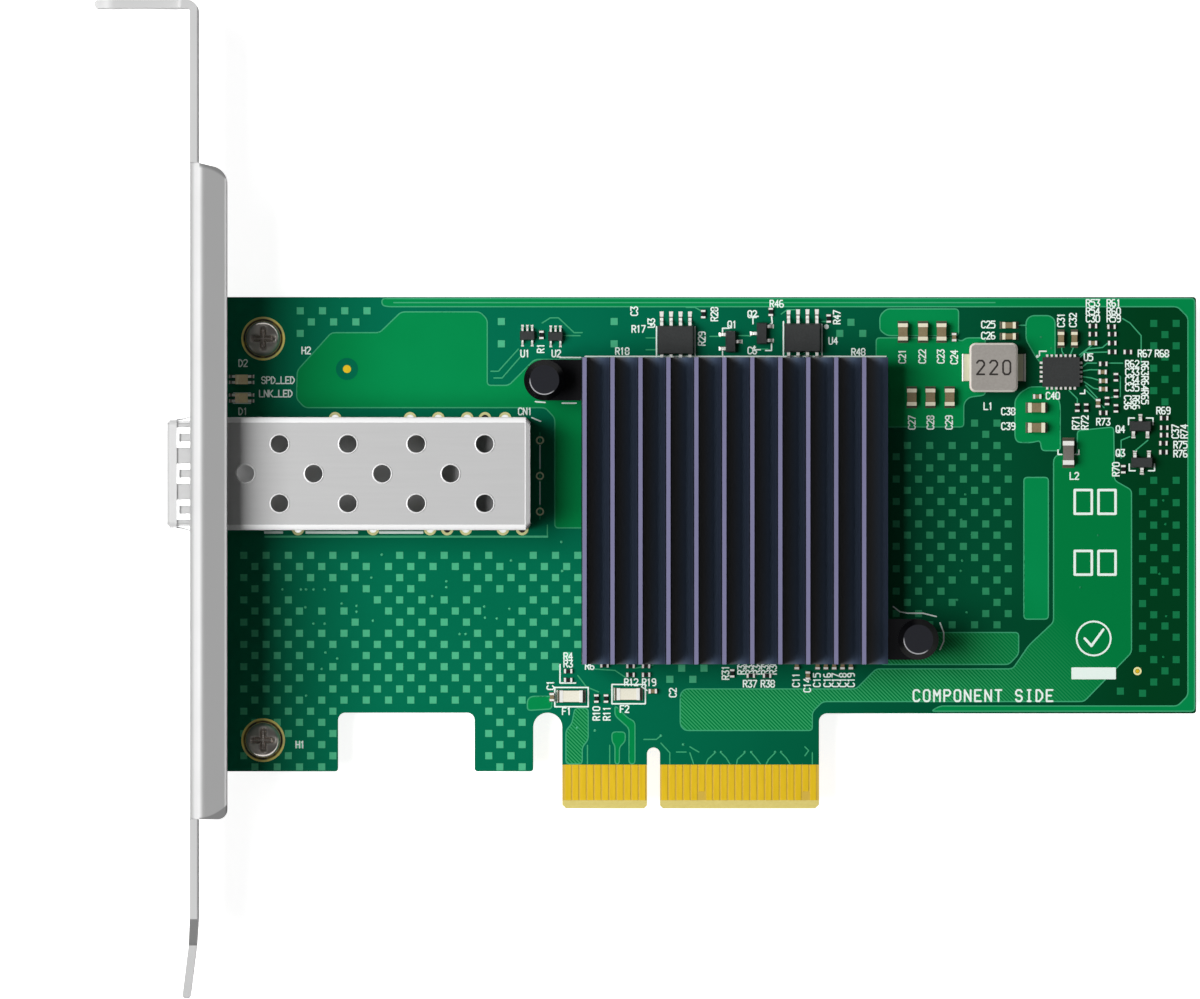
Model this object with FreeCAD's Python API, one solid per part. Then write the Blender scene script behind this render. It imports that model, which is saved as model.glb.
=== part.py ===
import FreeCAD, Part
import math
import os

# PCI Express x4 network card with one SFP+ port and a full-height bracket.
# Millimetres.  The board lies in the XY plane with its component side up:
# +X runs from the bracket to the far end, +Y from the card-edge contacts to
# the top edge and +Z out of the component side.  The origin is the middle of
# the key notch, at the tips of the card-edge contacts and at half the
# board's thickness.

V = FreeCAD.Vector

# ---------------------------------------------------------------- board
BOARD_T = 1.57
BOARD_LEFT = -60.7
BOARD_RIGHT = 73.1
BOARD_TOP_EDGE = 68.9
BODY_BOTTOM = 12.8          # lower edge of the card right of the contacts
FOOT_BOTTOM = 5.0           # lower edge of the two feet left of the contacts
LEFT_FOOT_END = -42.5
MIDDLE_FOOT_START = -24.1
CUTOUT_TOP = 12.9
BOARD_CORNER = 0.4
ARC_TRIM = 0.01             # off a half-round's radius, and past an edge in a cut
PAD_T = 0.05                # plated copper standing on the board
HOLE_SIDES = 12             # flats of the small repeated holes
PIN_HOLE_SIDES = 8

# ---------------------------------------------------------------- card edge
PITCH = 1.0
SHORT_SIDE_PINS = 11
LONG_SIDE_PINS = 21
FIRST_PIN = 1.5             # first contact from the key's middle
NOTCH_WIDTH = 1.75
NOTCH_TOP = 8.2
TAB_EASE = 0.5              # corner taken off each end of the tab
NOTCH_EASE = 0.4            # corner taken off the key notch's mouth
EDGE_MARGIN = 0.8           # tab edge beyond the middle of the last contact
SLOT_WIDTH = 3.9            # slot between the middle foot and the contacts
CONTACT_WIDTH = 0.76
CONTACT_LENGTH = 4.8
SHORT_CONTACT_CUT = 1.2
BEVEL_HEIGHT = 1.1
BEVEL_DEPTH = 0.4
SHORT_PINS_FRONT = (17, 31)
SHORT_PINS_BACK = (1,)

# ---------------------------------------------------------------- bracket
SHEET = 1.1
BRACKET_GAP = 0.53          # board edge to the bracket's inner face
FACE_WIDTH = 18.42
FACE_TOP = 108.8
TONGUE_WIDTH = 10.16
TONGUE_END = -25.5
TONGUE_LEAN = 1.08          # how far the tip leans outwards
SHOULDER_Y = -14.8          # the sheet narrows to the tongue from here
SHOULDER_LENGTH = 3.5
SHOULDER_LEAN = 0.19
TONGUE_TAPER = 0.8          # off each side at the tip
TONGUE_CORNER = 2.0
TONGUE_TIP_R = 0.4
LEDGE_REACH = 12.9
LEDGE_OVERHANG = 3.17
LEDGE_CORNER = 2.5
LEDGE_SLOT_WIDTH = 4.42
LEDGE_SLOT_DEPTH = 5.1
LEDGE_SLOT_FROM_FACE = 7.2
FLANGE_TOP = 86.9
FLANGE_BOTTOM = -1.35
FLANGE_REACH = 3.95
FLANGE_CORNER = 2.4
FLANGE_EDGE_R = 0.35        # softened free edge
FLANGE_BEND = 0.9           # inner radius
TIGHT_BEND = 0.45           # inner radius
EAR_WIDTH = 6.3
EAR_RELIEF = 0.8
SCREW_X = -52.6
SCREW_YS = (63.3, 9.2)
SCREW_R = 1.4
SCREW_LENGTH = 5.0
SCREW_HEAD_R = 2.45
SCREW_HEAD_H = 1.7
SCREW_HOLE_R = 1.6
PAN_PROFILE = ((0, 1), (0.55, 1), (0.9, 0.65), (1, 0))    # shares of radius and height
RECESS_LENGTH = 3.0
RECESS_WIDTH = 0.8
RECESS_DEPTH = 1.1
THREAD_CLEARANCE = 0.02
RING_R = 2.95
LED_YS = (57.8, 55.3)
LED_X = -55.5
LED_BODY = (1.7, 1.3, 1.5)  # length, width, height
LED_HOLE_R = 0.9
LED_LEAD = (0.45, 0.36, 0.3)    # reach, width, height
LED_BEVEL = 0.5             # off the cathode end's top
LED_LEAD_GAP = 0.8          # between the middles of a side's two leads

# ---------------------------------------------------------------- port cage
CAGE_Y = 45.1
CAGE_WIDTH = 15.2
CAGE_HEIGHT = 9.8
NOSE_WIDTH = 14.2
NOSE_HEIGHT = 9.6
NOSE_STANDOUT = 3.1         # nose beyond the bracket's outer face
CAGE_BACK = -16.6
CAGE_SEAT = 0.1
CAGE_WALL = 0.3
CAGE_CORNER = 0.7
BACK_FOLD = 0.6             # bevel of the back wall's folds
STEP_START = 0.4            # the nose widens this far inside the bracket
STEP_LENGTH = 0.8
BASE_CLEARANCE = 0.05
BASE_WALL_HEIGHT = 2.6
LATCH_WIDTH = 6.0
LATCH_LENGTH = 9.0
LATCH_SLOT = 0.5
VENT_R = 1.2
VENT_PITCH = 9.2
VENT_FIRST_X = -50.3
VENT_ROW_STEP = 4.0
VENT_COUNT = 4
SIDE_VENT_HEIGHT = 3.2
SIDE_VENT_LENGTH = 2.2
PIN_WIDTH = 0.7
PIN_HOLE_R = 0.55
LEG_ROOT = 0.5              # leg runs this far up into the wall
LEG_TAPER = 0.6
LEG_TIP = 0.12              # half width of the point
PIN_REACH = 1.2             # below the solder side
CAGE_PINS_LOW = (-47.9, -37.8, -30.1, -25.3, -20.3)
CAGE_PINS_HIGH = (-42.9, -32.8, -29.0, -25.1, -20.0)
PORT_CLEARANCE = 0.75
COLLAR_T = 0.2
COLLAR_WIDTH = 1.0
COLLAR_CLEARANCE = 0.05
COLLAR_SETBACK = 0.3        # behind the nose's front
FINGER_WIDTH = 2.7
FINGER_PITCH = 4.85
FINGER_PAST_FACE = 0.25     # finger tips beyond the bracket's inner face
FINGER_BULGE = 0.45
FINGER_CREST = 1.8          # over 1 moves the crest towards the bracket
FINGER_SLOT = (0.35, 1.5, 1.1)  # from the root, length and width
FINGER_STEPS = 5            # straight stretches along a bowed finger

# ---------------------------------------------------------------- connector
CONNECTOR_FRONT = -28.6
CONNECTOR_LENGTH = 9.6
CONNECTOR_WIDTH = 11.6
CONNECTOR_HEIGHT = 6.4
MODULE_SLOT_WIDTH = 9.6
MODULE_SLOT_HEIGHT = 1.3
HOUSING_BEVEL = 0.4         # top back edge
HOUSING_SLOPE = (2.0, 1.6)   # length and drop of the sloped front top
SLOT_FLARE = 0.6            # each side of the mouth
SLOT_FLARE_DEPTH = 0.8
MODULE_SLOT_DEPTH = 6.0
MODULE_SLOT_Z = 3.2         # slot's middle above the board
CONTACT_PITCH = 0.8
CONTACTS_PER_ROW = 10
CONTACT_STRIP = 0.36
CONTACT_T = 0.25

# ---------------------------------------------------------------- heatsink
SINK_CENTRE = (10.93, 40.1)
SINK_SIZE = 41.3
SINK_BASE_T = 2.5
SINK_HEIGHT = 8.4           # base underside to fin tips
FIN_PITCH = 3.76
FIN_TIP = 0.56
FIN_ROOT = 0.86
CHIP_SIZE = 23.0
CHIP_STANDOFF = 0.4
SUBSTRATE_T = 1.1
LID_SIZE = 18.0
LID_T = 1.1
LID_BEVEL = 0.3
PAD_SIZE = 17.0
THERMAL_PAD_T = 0.5
PIN_PAST_SIDE = 4.5         # push pin beyond the heatsink's side
PIN_FROM_END = 3.2          # push pin in from the heatsink's end
PIN_SHIFT = (-0.48, 0.15)   # middle of the two pins from the heatsink's middle
EAR_R = 2.75
PUSH_SHAFT_R = 1.2
PUSH_HOLE_R = 1.55
PUSH_HEAD_R = 2.75
PUSH_HEAD_FLAT_R = 2.0
PUSH_HEAD_H = 1.5
PUSH_HEAD_RIM = 0.45        # share of the height that stands straight
PUSH_BARB_R = 1.75
PUSH_BARB_H = 2.4
PUSH_SPLIT = 0.6
HEAD_GAP = 0.05             # over the spring
BARB_GAP = 0.1              # under the board
SPRING_GAP = 0.02           # over the ear
SPRING_R = 1.95             # wire centre line
SPRING_WIRE_R = 0.25
SPRING_TURNS = 3
SPRING_PITCH = 0.95
SPRING_STEPS = 10           # straight stretches in one turn of the coil

# ---------------------------------------------------------------- derived
TOP = BOARD_T / 2
BOTTOM = -BOARD_T / 2
FACE_INNER = BOARD_LEFT - BRACKET_GAP
FACE_OUTER = FACE_INNER - SHEET
EAR_TOP = BOTTOM
FACE_Z0 = EAR_TOP - SHEET
FACE_Z1 = FACE_Z0 + FACE_WIDTH
TAB_LEFT = -(FIRST_PIN + (SHORT_SIDE_PINS - 1) * PITCH + EDGE_MARGIN)
TAB_RIGHT = FIRST_PIN + (LONG_SIDE_PINS - 1) * PITCH + EDGE_MARGIN
CAGE_FRONT = FACE_OUTER - NOSE_STANDOUT
COLLAR_START = CAGE_FRONT + COLLAR_SETBACK
CAGE_Z0 = TOP + CAGE_SEAT
CAGE_Z1 = CAGE_Z0 + CAGE_HEIGHT
NOSE_Z0 = CAGE_Z0 + (CAGE_HEIGHT - NOSE_HEIGHT) / 2
NOSE_Z1 = NOSE_Z0 + NOSE_HEIGHT
PORT_Z = (CAGE_Z0 + CAGE_Z1) / 2
LID_TOP = TOP + CHIP_STANDOFF + SUBSTRATE_T + LID_T
SINK_Z0 = LID_TOP + THERMAL_PAD_T
SINK_DECK = SINK_Z0 + SINK_BASE_T
SINK_LEFT = SINK_CENTRE[0] - SINK_SIZE / 2
SINK_RIGHT = SINK_CENTRE[0] + SINK_SIZE / 2
SINK_LOW = SINK_CENTRE[1] - SINK_SIZE / 2
SINK_HIGH = SINK_CENTRE[1] + SINK_SIZE / 2
FIN_COUNT = 1 + int((SINK_SIZE - FIN_ROOT) / FIN_PITCH)
PUSH_PINS = tuple(
    (SINK_CENTRE[0] + PIN_SHIFT[0] + side * (SINK_SIZE / 2 + PIN_PAST_SIDE),
     SINK_CENTRE[1] + PIN_SHIFT[1] - side * (SINK_SIZE / 2 - PIN_FROM_END))
    for side in (-1, 1)
)


# ================================================================ helpers
def box(x_span, y_span, z_span):
    """A block between three pairs of limits."""
    size = [span[1] - span[0] for span in (x_span, y_span, z_span)]
    return Part.makeBox(*size, V(x_span[0], y_span[0], z_span[0]))


def around(middle, size):
    """The limits of a length centred on a value."""
    return middle - size / 2, middle + size / 2


def cylinder(radius, start, end):
    """A round bar from one point to another."""
    axis = end.sub(start)
    return Part.makeCylinder(radius, axis.Length, start, axis)


def drill(radius, start, end, sides=HOLE_SIDES):
    """A cutter for small repeated holes: a prism whose flats touch the radius."""
    axis = end.sub(start)
    corner = radius / math.cos(math.pi / sides)
    turn = FreeCAD.Rotation(V(0, 0, 1), axis)
    points = []
    for index in range(sides + 1):
        angle = 2 * math.pi * (index + 0.5) / sides
        point = V(corner * math.cos(angle), corner * math.sin(angle), 0)
        points.append(start + turn.multVec(point))
    return Part.Face(Part.makePolygon(points)).extrude(axis)


def outline(corners):
    """A closed wire in XY through (x, y, corner radius) points."""
    edges = []
    tangents = []
    count = len(corners)
    for index, (x, y, radius) in enumerate(corners):
        here = V(x, y, 0)
        before = V(*corners[index - 1][:2], 0).sub(here).normalize()
        after = V(*corners[(index + 1) % count][:2], 0).sub(here).normalize()
        half = before.getAngle(after) / 2
        if radius <= 0 or abs(half - math.pi / 2) < 1e-6:
            tangents.append((here, None, here))
            continue
        reach = radius / math.tan(half)
        inward = (before + after).normalize()
        middle = here + inward * (radius / math.sin(half) - radius)
        tangents.append((here + before * reach, middle, here + after * reach))
    for index, (start, middle, end) in enumerate(tangents):
        if middle is not None:
            edges.append(Part.Arc(start, middle, end).toShape())
        following = tangents[(index + 1) % count][0]
        if following.sub(end).Length > 1e-6:
            edges.append(Part.LineSegment(end, following).toShape())
    return Part.Wire(Part.__sortEdges__(edges))


def slab(corners, z_span):
    """A flat plate with a rounded outline between two heights."""
    face = Part.Face(outline(corners))
    plate = face.extrude(V(0, 0, z_span[1] - z_span[0]))
    plate.translate(V(0, 0, z_span[0]))
    return plate


def to_yz(shape):
    """Turn a plate drawn in XY so that it stands in YZ, drawn x as Y and y as Z."""
    turn = FreeCAD.Matrix(0, 0, 1, 0, 1, 0, 0, 0, 0, 1, 0, 0, 0, 0, 0, 1)
    return shape.transformGeometry(turn) if shape.ShapeType == "Wire" else shape.transformed(turn)


def to_xz(shape):
    """Turn a plate drawn in XY so that drawn y becomes Z and its depth runs along Y."""
    return shape.transformed(FreeCAD.Matrix(1, 0, 0, 0, 0, 0, -1, 0, 0, 1, 0, 0, 0, 0, 0, 1))


def rounded(x_span, y_span, radius):
    """Corner list of a rectangle with one corner radius."""
    return [
        (x_span[0], y_span[0], radius),
        (x_span[1], y_span[0], radius),
        (x_span[1], y_span[1], radius),
        (x_span[0], y_span[1], radius),
    ]


def profile_along_y(points, y_span):
    """A plate from (x, z) or (x, z, radius) points, as deep as the Y limits."""
    corners = [point if len(point) == 3 else (*point, 0) for point in points]
    return to_xz(slab(corners, (-y_span[1], -y_span[0])))


def profile_along_x(points, x_span):
    """A plate from (y, z) or (y, z, radius) points, as deep as the X limits."""
    corners = [point if len(point) == 3 else (*point, 0) for point in points]
    return to_yz(slab(corners, x_span))


def turned(points, x, y):
    """A solid of revolution about a vertical axis, from (radius, z) points."""
    vectors = [V(radius, 0, z) for radius, z in points]
    face = Part.Face(Part.makePolygon(vectors + vectors[:1]))
    solid = face.revolve(V(0, 0, 0), V(0, 0, 1), 360)
    solid.translate(V(x, y, 0))
    return solid


def fused(shapes):
    """One clean solid from pieces that touch or overlap."""
    whole = shapes[0]
    if len(shapes) > 1:
        whole = shapes[0].fuse(shapes[1:])
    return whole.removeSplitter()


def save(name, shapes):
    """Write one node; each item of the list stays a solid of its own."""
    solids = [solid for shape in shapes for solid in shape.Solids]
    Part.makeCompound(solids).exportStep(os.path.join("parts", name + ".step"))
    print(name, len(solids), "solids", round(sum(solid.Volume for solid in solids), 2), "mm3")


# ================================================================ board
def cage_pin_places():
    """(x, y) of each cage pin, in the middle of the side wall it hangs from."""
    wall = CAGE_WIDTH / 2 - CAGE_WALL / 2
    low = [(x, CAGE_Y - wall) for x in CAGE_PINS_LOW]
    high = [(x, CAGE_Y + wall) for x in CAGE_PINS_HIGH]
    return low + high


def circuit_board():
    """Laminate with the feet, cut-out, key notch, bevelled edge and drilled holes."""
    half_notch = NOTCH_WIDTH / 2
    slot_left = TAB_LEFT - SLOT_WIDTH
    corners = [
        (BOARD_LEFT, BOARD_TOP_EDGE, BOARD_CORNER),
        (BOARD_LEFT, FOOT_BOTTOM, BOARD_CORNER),
        (LEFT_FOOT_END, FOOT_BOTTOM, BOARD_CORNER),
        (LEFT_FOOT_END, CUTOUT_TOP, 1.0),
        (MIDDLE_FOOT_START, CUTOUT_TOP, 1.0),
        (MIDDLE_FOOT_START, FOOT_BOTTOM, BOARD_CORNER),
        (slot_left, FOOT_BOTTOM, BOARD_CORNER),
        (slot_left, CUTOUT_TOP, SLOT_WIDTH / 2 - ARC_TRIM),
        (TAB_LEFT, CUTOUT_TOP, SLOT_WIDTH / 2 - ARC_TRIM),
        (TAB_LEFT, 0.5, 0),
        (TAB_LEFT + TAB_EASE, 0, 0),
        (-half_notch - NOTCH_EASE, 0, 0),
        (-half_notch, 0.4, 0),
        (-half_notch, NOTCH_TOP, half_notch - ARC_TRIM),
        (half_notch, NOTCH_TOP, half_notch - ARC_TRIM),
        (half_notch, 0.4, 0),
        (half_notch + NOTCH_EASE, 0, 0),
        (TAB_RIGHT - TAB_EASE, 0, 0),
        (TAB_RIGHT, 0.5, 0),
        (TAB_RIGHT, BODY_BOTTOM, 1.1),
        (BOARD_RIGHT, BODY_BOTTOM, BOARD_CORNER),
        (BOARD_RIGHT, BOARD_TOP_EDGE, BOARD_CORNER),
    ]
    board = slab(corners, (BOTTOM, TOP))
    x_span = (TAB_LEFT - 1, TAB_RIGHT + 1)
    for side in (-1, 1):
        wedge = [
            (-ARC_TRIM, side * (TOP - BEVEL_DEPTH)),
            (BEVEL_HEIGHT, side * TOP),
            (-ARC_TRIM, side * (TOP + ARC_TRIM)),
        ]
        board = board.cut(profile_along_x(wedge, x_span))
    holes = [drill(PIN_HOLE_R, V(x, y, BOTTOM - 1), V(x, y, TOP + 1), PIN_HOLE_SIDES)
             for x, y in cage_pin_places()]
    large = [(x, y, PUSH_HOLE_R) for x, y in PUSH_PINS] + [(SCREW_X, y, SCREW_HOLE_R) for y in SCREW_YS]
    holes += [cylinder(r, V(x, y, BOTTOM - 1), V(x, y, TOP + 1)) for x, y, r in large]
    return board.cut(holes)


def contact_places():
    """(number, x) of each contact along one side of the card edge."""
    left = [-FIRST_PIN - PITCH * (SHORT_SIDE_PINS - n) for n in range(1, SHORT_SIDE_PINS + 1)]
    right = [FIRST_PIN + PITCH * n for n in range(LONG_SIDE_PINS)]
    return list(enumerate(left + right, start=1))


def edge_contacts():
    """Gold contacts on both faces; the hot-plug detect pairs are shorter."""
    contacts = []
    for side, short in ((1, SHORT_PINS_FRONT), (-1, SHORT_PINS_BACK)):
        faces = (TOP, TOP + PAD_T) if side > 0 else (BOTTOM - PAD_T, BOTTOM)
        for number, x in contact_places():
            start = BEVEL_HEIGHT + (SHORT_CONTACT_CUT if number in short else 0)
            span = (start, BEVEL_HEIGHT + CONTACT_LENGTH)
            contacts.append(box(around(x, CONTACT_WIDTH), span, faces))
    return contacts


def mounting_rings():
    """Plated ring round each bracket hole, under the screw's head."""
    rings = []
    for y in SCREW_YS:
        disc = cylinder(RING_R, V(SCREW_X, y, TOP), V(SCREW_X, y, TOP + PAD_T))
        bore = drill(SCREW_HOLE_R, V(SCREW_X, y, BOTTOM), V(SCREW_X, y, TOP + 1))
        rings.append(disc.cut(bore))
    return rings


# ================================================================ bracket
def bracket_face():
    """The standing plate with its port, light holes and bend reliefs."""
    straight_top = FACE_TOP - SHEET - TIGHT_BEND
    flange_edge = FACE_Z1 - FLANGE_BEND - SHEET
    corners = [
        (straight_top, FACE_Z0, 0),
        (straight_top, FACE_Z1, 0),
        (FLANGE_TOP, FACE_Z1, 0),
        (FLANGE_TOP, flange_edge, 0),
        (FLANGE_BOTTOM, flange_edge, 0),
        (FLANGE_BOTTOM, FACE_Z1, 0),
        (SHOULDER_Y, FACE_Z1, 0),
        (SHOULDER_Y, FACE_Z0, 0),
    ]
    face = profile_along_x(corners, (FACE_OUTER, FACE_INNER))
    cuts = [port_opening()]
    light_z = TOP + LED_BODY[2] / 2
    cuts += [drill(LED_HOLE_R, V(FACE_OUTER - 1, y, light_z), V(FACE_INNER + 1, y, light_z))
             for y in LED_YS]
    x_span = (FACE_OUTER - 1, FACE_INNER + 1)
    ear_edge = (FACE_Z0 - 1, FACE_Z0 + SHEET + TIGHT_BEND)
    for y in SCREW_YS:
        cuts.append(box(x_span, around(y, EAR_WIDTH + 2 * EAR_RELIEF), ear_edge))
    return face.cut(cuts)


def port_opening():
    """The hole that the cage's nose and its spring collar reach through."""
    y_span = around(CAGE_Y, NOSE_WIDTH + 2 * PORT_CLEARANCE)
    z_span = around(PORT_Z, NOSE_HEIGHT + 2 * PORT_CLEARANCE)
    return profile_along_x(rounded(y_span, z_span, 0.8), (FACE_OUTER - 1, FACE_INNER + 1))


def bent_edge(inner_radius, reach, z_sign, edge_radius=0):
    """Profile in XZ of a bend and the strip past it, folded towards the board.

    z_sign is +1 for the flange at the component side's edge and -1 for the
    ears at the solder side's edge.
    """
    outer = inner_radius + SHEET
    edge = FACE_Z1 if z_sign > 0 else FACE_Z0
    end = FACE_INNER + reach
    return [
        (FACE_OUTER, edge - z_sign * outer, 0),
        (FACE_OUTER, edge, outer),
        (end, edge, edge_radius),
        (end, edge - z_sign * SHEET, 0),
        (FACE_INNER, edge - z_sign * SHEET, inner_radius),
        (FACE_INNER, edge - z_sign * outer, 0),
    ]


def bracket_flange():
    """Stiffening flange folded over the component side, with rounded corners."""
    strip = profile_along_y(bent_edge(FLANGE_BEND, FLANGE_REACH, 1, FLANGE_EDGE_R),
                            (FLANGE_BOTTOM, FLANGE_TOP))
    corners = [
        (FACE_OUTER - 1, FLANGE_BOTTOM, 0),
        (FACE_INNER + FLANGE_REACH, FLANGE_BOTTOM, 1.3),
        (FACE_INNER + FLANGE_REACH, FLANGE_TOP - 1.0, FLANGE_CORNER),
        (FACE_INNER, FLANGE_TOP, FLANGE_CORNER),
        (FACE_OUTER - 1, FLANGE_TOP, 0),
    ]
    return strip.common(slab(corners, (FACE_Z0, FACE_Z1 + 1)))


def bracket_ear(y):
    """Tab folded under the board, with the screw's tapped hole."""
    reach = SCREW_X + EAR_WIDTH / 2 - FACE_INNER
    strip = profile_along_y(bent_edge(TIGHT_BEND, reach, -1), around(y, EAR_WIDTH))
    corners = [
        (FACE_OUTER - 1, y - EAR_WIDTH / 2, 0),
        (FACE_INNER + reach, y - EAR_WIDTH / 2, EAR_WIDTH / 2 - ARC_TRIM),
        (FACE_INNER + reach, y + EAR_WIDTH / 2, EAR_WIDTH / 2 - ARC_TRIM),
        (FACE_OUTER - 1, y + EAR_WIDTH / 2, 0),
    ]
    tab = strip.common(slab(corners, (FACE_Z0 - 1, FACE_Z1)))
    tapped = SCREW_R + THREAD_CLEARANCE
    return tab.cut(drill(tapped, V(SCREW_X, y, FACE_Z0 - 1), V(SCREW_X, y, TOP)))


def bracket_ledge():
    """Top tab folded outwards, with the chassis screw's open slot."""
    outer = TIGHT_BEND + SHEET
    tip = FACE_OUTER - LEDGE_REACH
    section = [
        (FACE_INNER, FACE_TOP - outer, 0),
        (FACE_INNER, FACE_TOP, outer),
        (tip, FACE_TOP, 0.5),
        (tip, FACE_TOP - SHEET, 0.5),
        (FACE_OUTER, FACE_TOP - SHEET, TIGHT_BEND),
        (FACE_OUTER, FACE_TOP - outer, 0),
    ]
    low = FACE_Z0 - LEDGE_OVERHANG
    strip = slab(section, (low, FACE_Z1))
    neck = FACE_OUTER - TIGHT_BEND - 1.2
    slot_x = around(FACE_OUTER - LEDGE_SLOT_FROM_FACE, LEDGE_SLOT_WIDTH)
    slot_end = low + LEDGE_SLOT_DEPTH
    round_end = LEDGE_SLOT_WIDTH / 2 - ARC_TRIM
    plan = [
        (FACE_INNER + 1, FACE_Z0, 0),
        (neck, FACE_Z0, 0),
        (neck, low, 0.6),
        (slot_x[1], low, 0),
        (slot_x[1], slot_end, round_end),
        (slot_x[0], slot_end, round_end),
        (slot_x[0], low, 0),
        (tip, low, LEDGE_CORNER),
        (tip, FACE_Z1 - LEDGE_OVERHANG, LEDGE_CORNER),
        (neck, FACE_Z1 - LEDGE_OVERHANG, 0),
        (neck, FACE_Z1, 0.5),
        (FACE_INNER + 1, FACE_Z1, 0),
    ]
    return strip.common(profile_along_y(plan, (FACE_TOP - outer - 1, FACE_TOP + 1)))


def bracket_tongue():
    """Shoulders that narrow the sheet, and the leaning tip that guides it into the chassis."""
    tongue_start = SHOULDER_Y - SHOULDER_LENGTH
    section = [
        (FACE_OUTER, SHOULDER_Y, 0),
        (FACE_OUTER - SHOULDER_LEAN, tongue_start, 0),
        (FACE_OUTER - TONGUE_LEAN, TONGUE_END, TONGUE_TIP_R),
        (FACE_INNER - TONGUE_LEAN, TONGUE_END, TONGUE_TIP_R),
        (FACE_INNER - SHOULDER_LEAN, tongue_start, 0),
        (FACE_INNER, SHOULDER_Y, 0),
    ]
    strip = slab(section, (FACE_Z0, FACE_Z1))
    tongue = around((FACE_Z0 + FACE_Z1) / 2, TONGUE_WIDTH)
    plan = [
        (SHOULDER_Y + 1, FACE_Z0, 0),
        (SHOULDER_Y, FACE_Z0, 0),
        (tongue_start, tongue[0], 0),
        (TONGUE_END, tongue[0] + TONGUE_TAPER, TONGUE_CORNER),
        (TONGUE_END, tongue[1] - TONGUE_TAPER, TONGUE_CORNER),
        (tongue_start, tongue[1], 0),
        (SHOULDER_Y, FACE_Z1, 0),
        (SHOULDER_Y + 1, FACE_Z1, 0),
    ]
    return strip.common(profile_along_x(plan, (FACE_OUTER - 3, FACE_INNER + 1)))


def mounting_bracket():
    """One folded steel sheet: face, ledge, flange, ears and tongue."""
    pieces = [bracket_face(), bracket_flange(), bracket_ledge(), bracket_tongue()]
    pieces += [bracket_ear(y) for y in SCREW_YS]
    return fused(pieces)


def bracket_screws():
    """Pan-head cross-recess screws through the board into the ears."""
    screws = []
    seat = TOP + PAD_T
    for y in SCREW_YS:
        section = [(r * SCREW_HEAD_R, seat + z * SCREW_HEAD_H) for r, z in PAN_PROFILE]
        section += [(SCREW_R, seat), (SCREW_R, seat - SCREW_LENGTH), (0, seat - SCREW_LENGTH)]
        screw = turned(section, SCREW_X, y)
        recess = (seat + SCREW_HEAD_H - RECESS_DEPTH, seat + SCREW_HEAD_H + 1)
        arms = ((RECESS_LENGTH, RECESS_WIDTH), (RECESS_WIDTH, RECESS_LENGTH))
        cross = [box(around(SCREW_X, a), around(y, b), recess) for a, b in arms]
        screws.append(screw.cut(cross))
    return screws


# ================================================================ port cage
def cage_form(inset):
    """The cage's outer form, drawn in by an inset on its four long sides."""
    def section(x, width, z_low, z_high, radius):
        y_span = around(CAGE_Y, width - 2 * inset)
        wire = outline(rounded(y_span, (z_low + inset, z_high - inset), max(radius - inset, 0.1)))
        placed = wire.transformed(FreeCAD.Matrix(0, 0, 1, x, 1, 0, 0, 0, 0, 1, 0, 0, 0, 0, 0, 1))
        return placed

    step_start = FACE_INNER + STEP_START
    step_end = step_start + STEP_LENGTH
    nose = (NOSE_WIDTH, NOSE_Z0, NOSE_Z1, CAGE_CORNER)
    body = (CAGE_WIDTH, CAGE_Z0, CAGE_Z1, CAGE_CORNER)
    fold = CAGE_BACK - BACK_FOLD
    back = (CAGE_WIDTH - 2 * BACK_FOLD, CAGE_Z0, CAGE_Z1 - BACK_FOLD, CAGE_CORNER)
    sections = [(CAGE_FRONT, nose), (step_start, nose), (step_end, body), (fold, body), (CAGE_BACK, back)]
    placed = [section(x, *form) for x, form in sections]
    return fused([Part.makeLoft([start, end], True, True) for start, end in zip(placed, placed[1:])])


def cage_vents():
    """Round holes through the roof, in three staggered rows."""
    holes = []
    for row in (-1, 0, 1):
        first = VENT_FIRST_X if row else VENT_FIRST_X - VENT_PITCH / 2
        for index in range(VENT_COUNT):
            x = first + VENT_PITCH * index
            y = CAGE_Y + VENT_ROW_STEP * row
            holes.append(drill(VENT_R, V(x, y, CAGE_Z1 - 2), V(x, y, CAGE_Z1 + 1)))
    return holes


def cage_side_vents():
    """Upright slots through both side walls."""
    slots = []
    z_span = around(PORT_Z + 1.0, SIDE_VENT_HEIGHT)
    for index in range(VENT_COUNT):
        x_span = around(VENT_FIRST_X + VENT_PITCH * index, SIDE_VENT_LENGTH)
        slots.append(box(x_span, around(CAGE_Y, CAGE_WIDTH + 2), z_span))
    return slots


def cage_pin(x, y):
    """Press-in leg with a pointed tip, as thick as the wall it hangs from."""
    half = PIN_WIDTH / 2
    tip = BOTTOM - PIN_REACH
    section = [
        (x - half, CAGE_Z0 + LEG_ROOT, 0),
        (x - half, tip + LEG_TAPER, 0),
        (x - LEG_TIP, tip, 0),
        (x + LEG_TIP, tip, 0),
        (x + half, tip + LEG_TAPER, 0),
        (x + half, CAGE_Z0 + LEG_ROOT, 0),
    ]
    return profile_along_y(section, around(y, CAGE_WALL))


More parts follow.
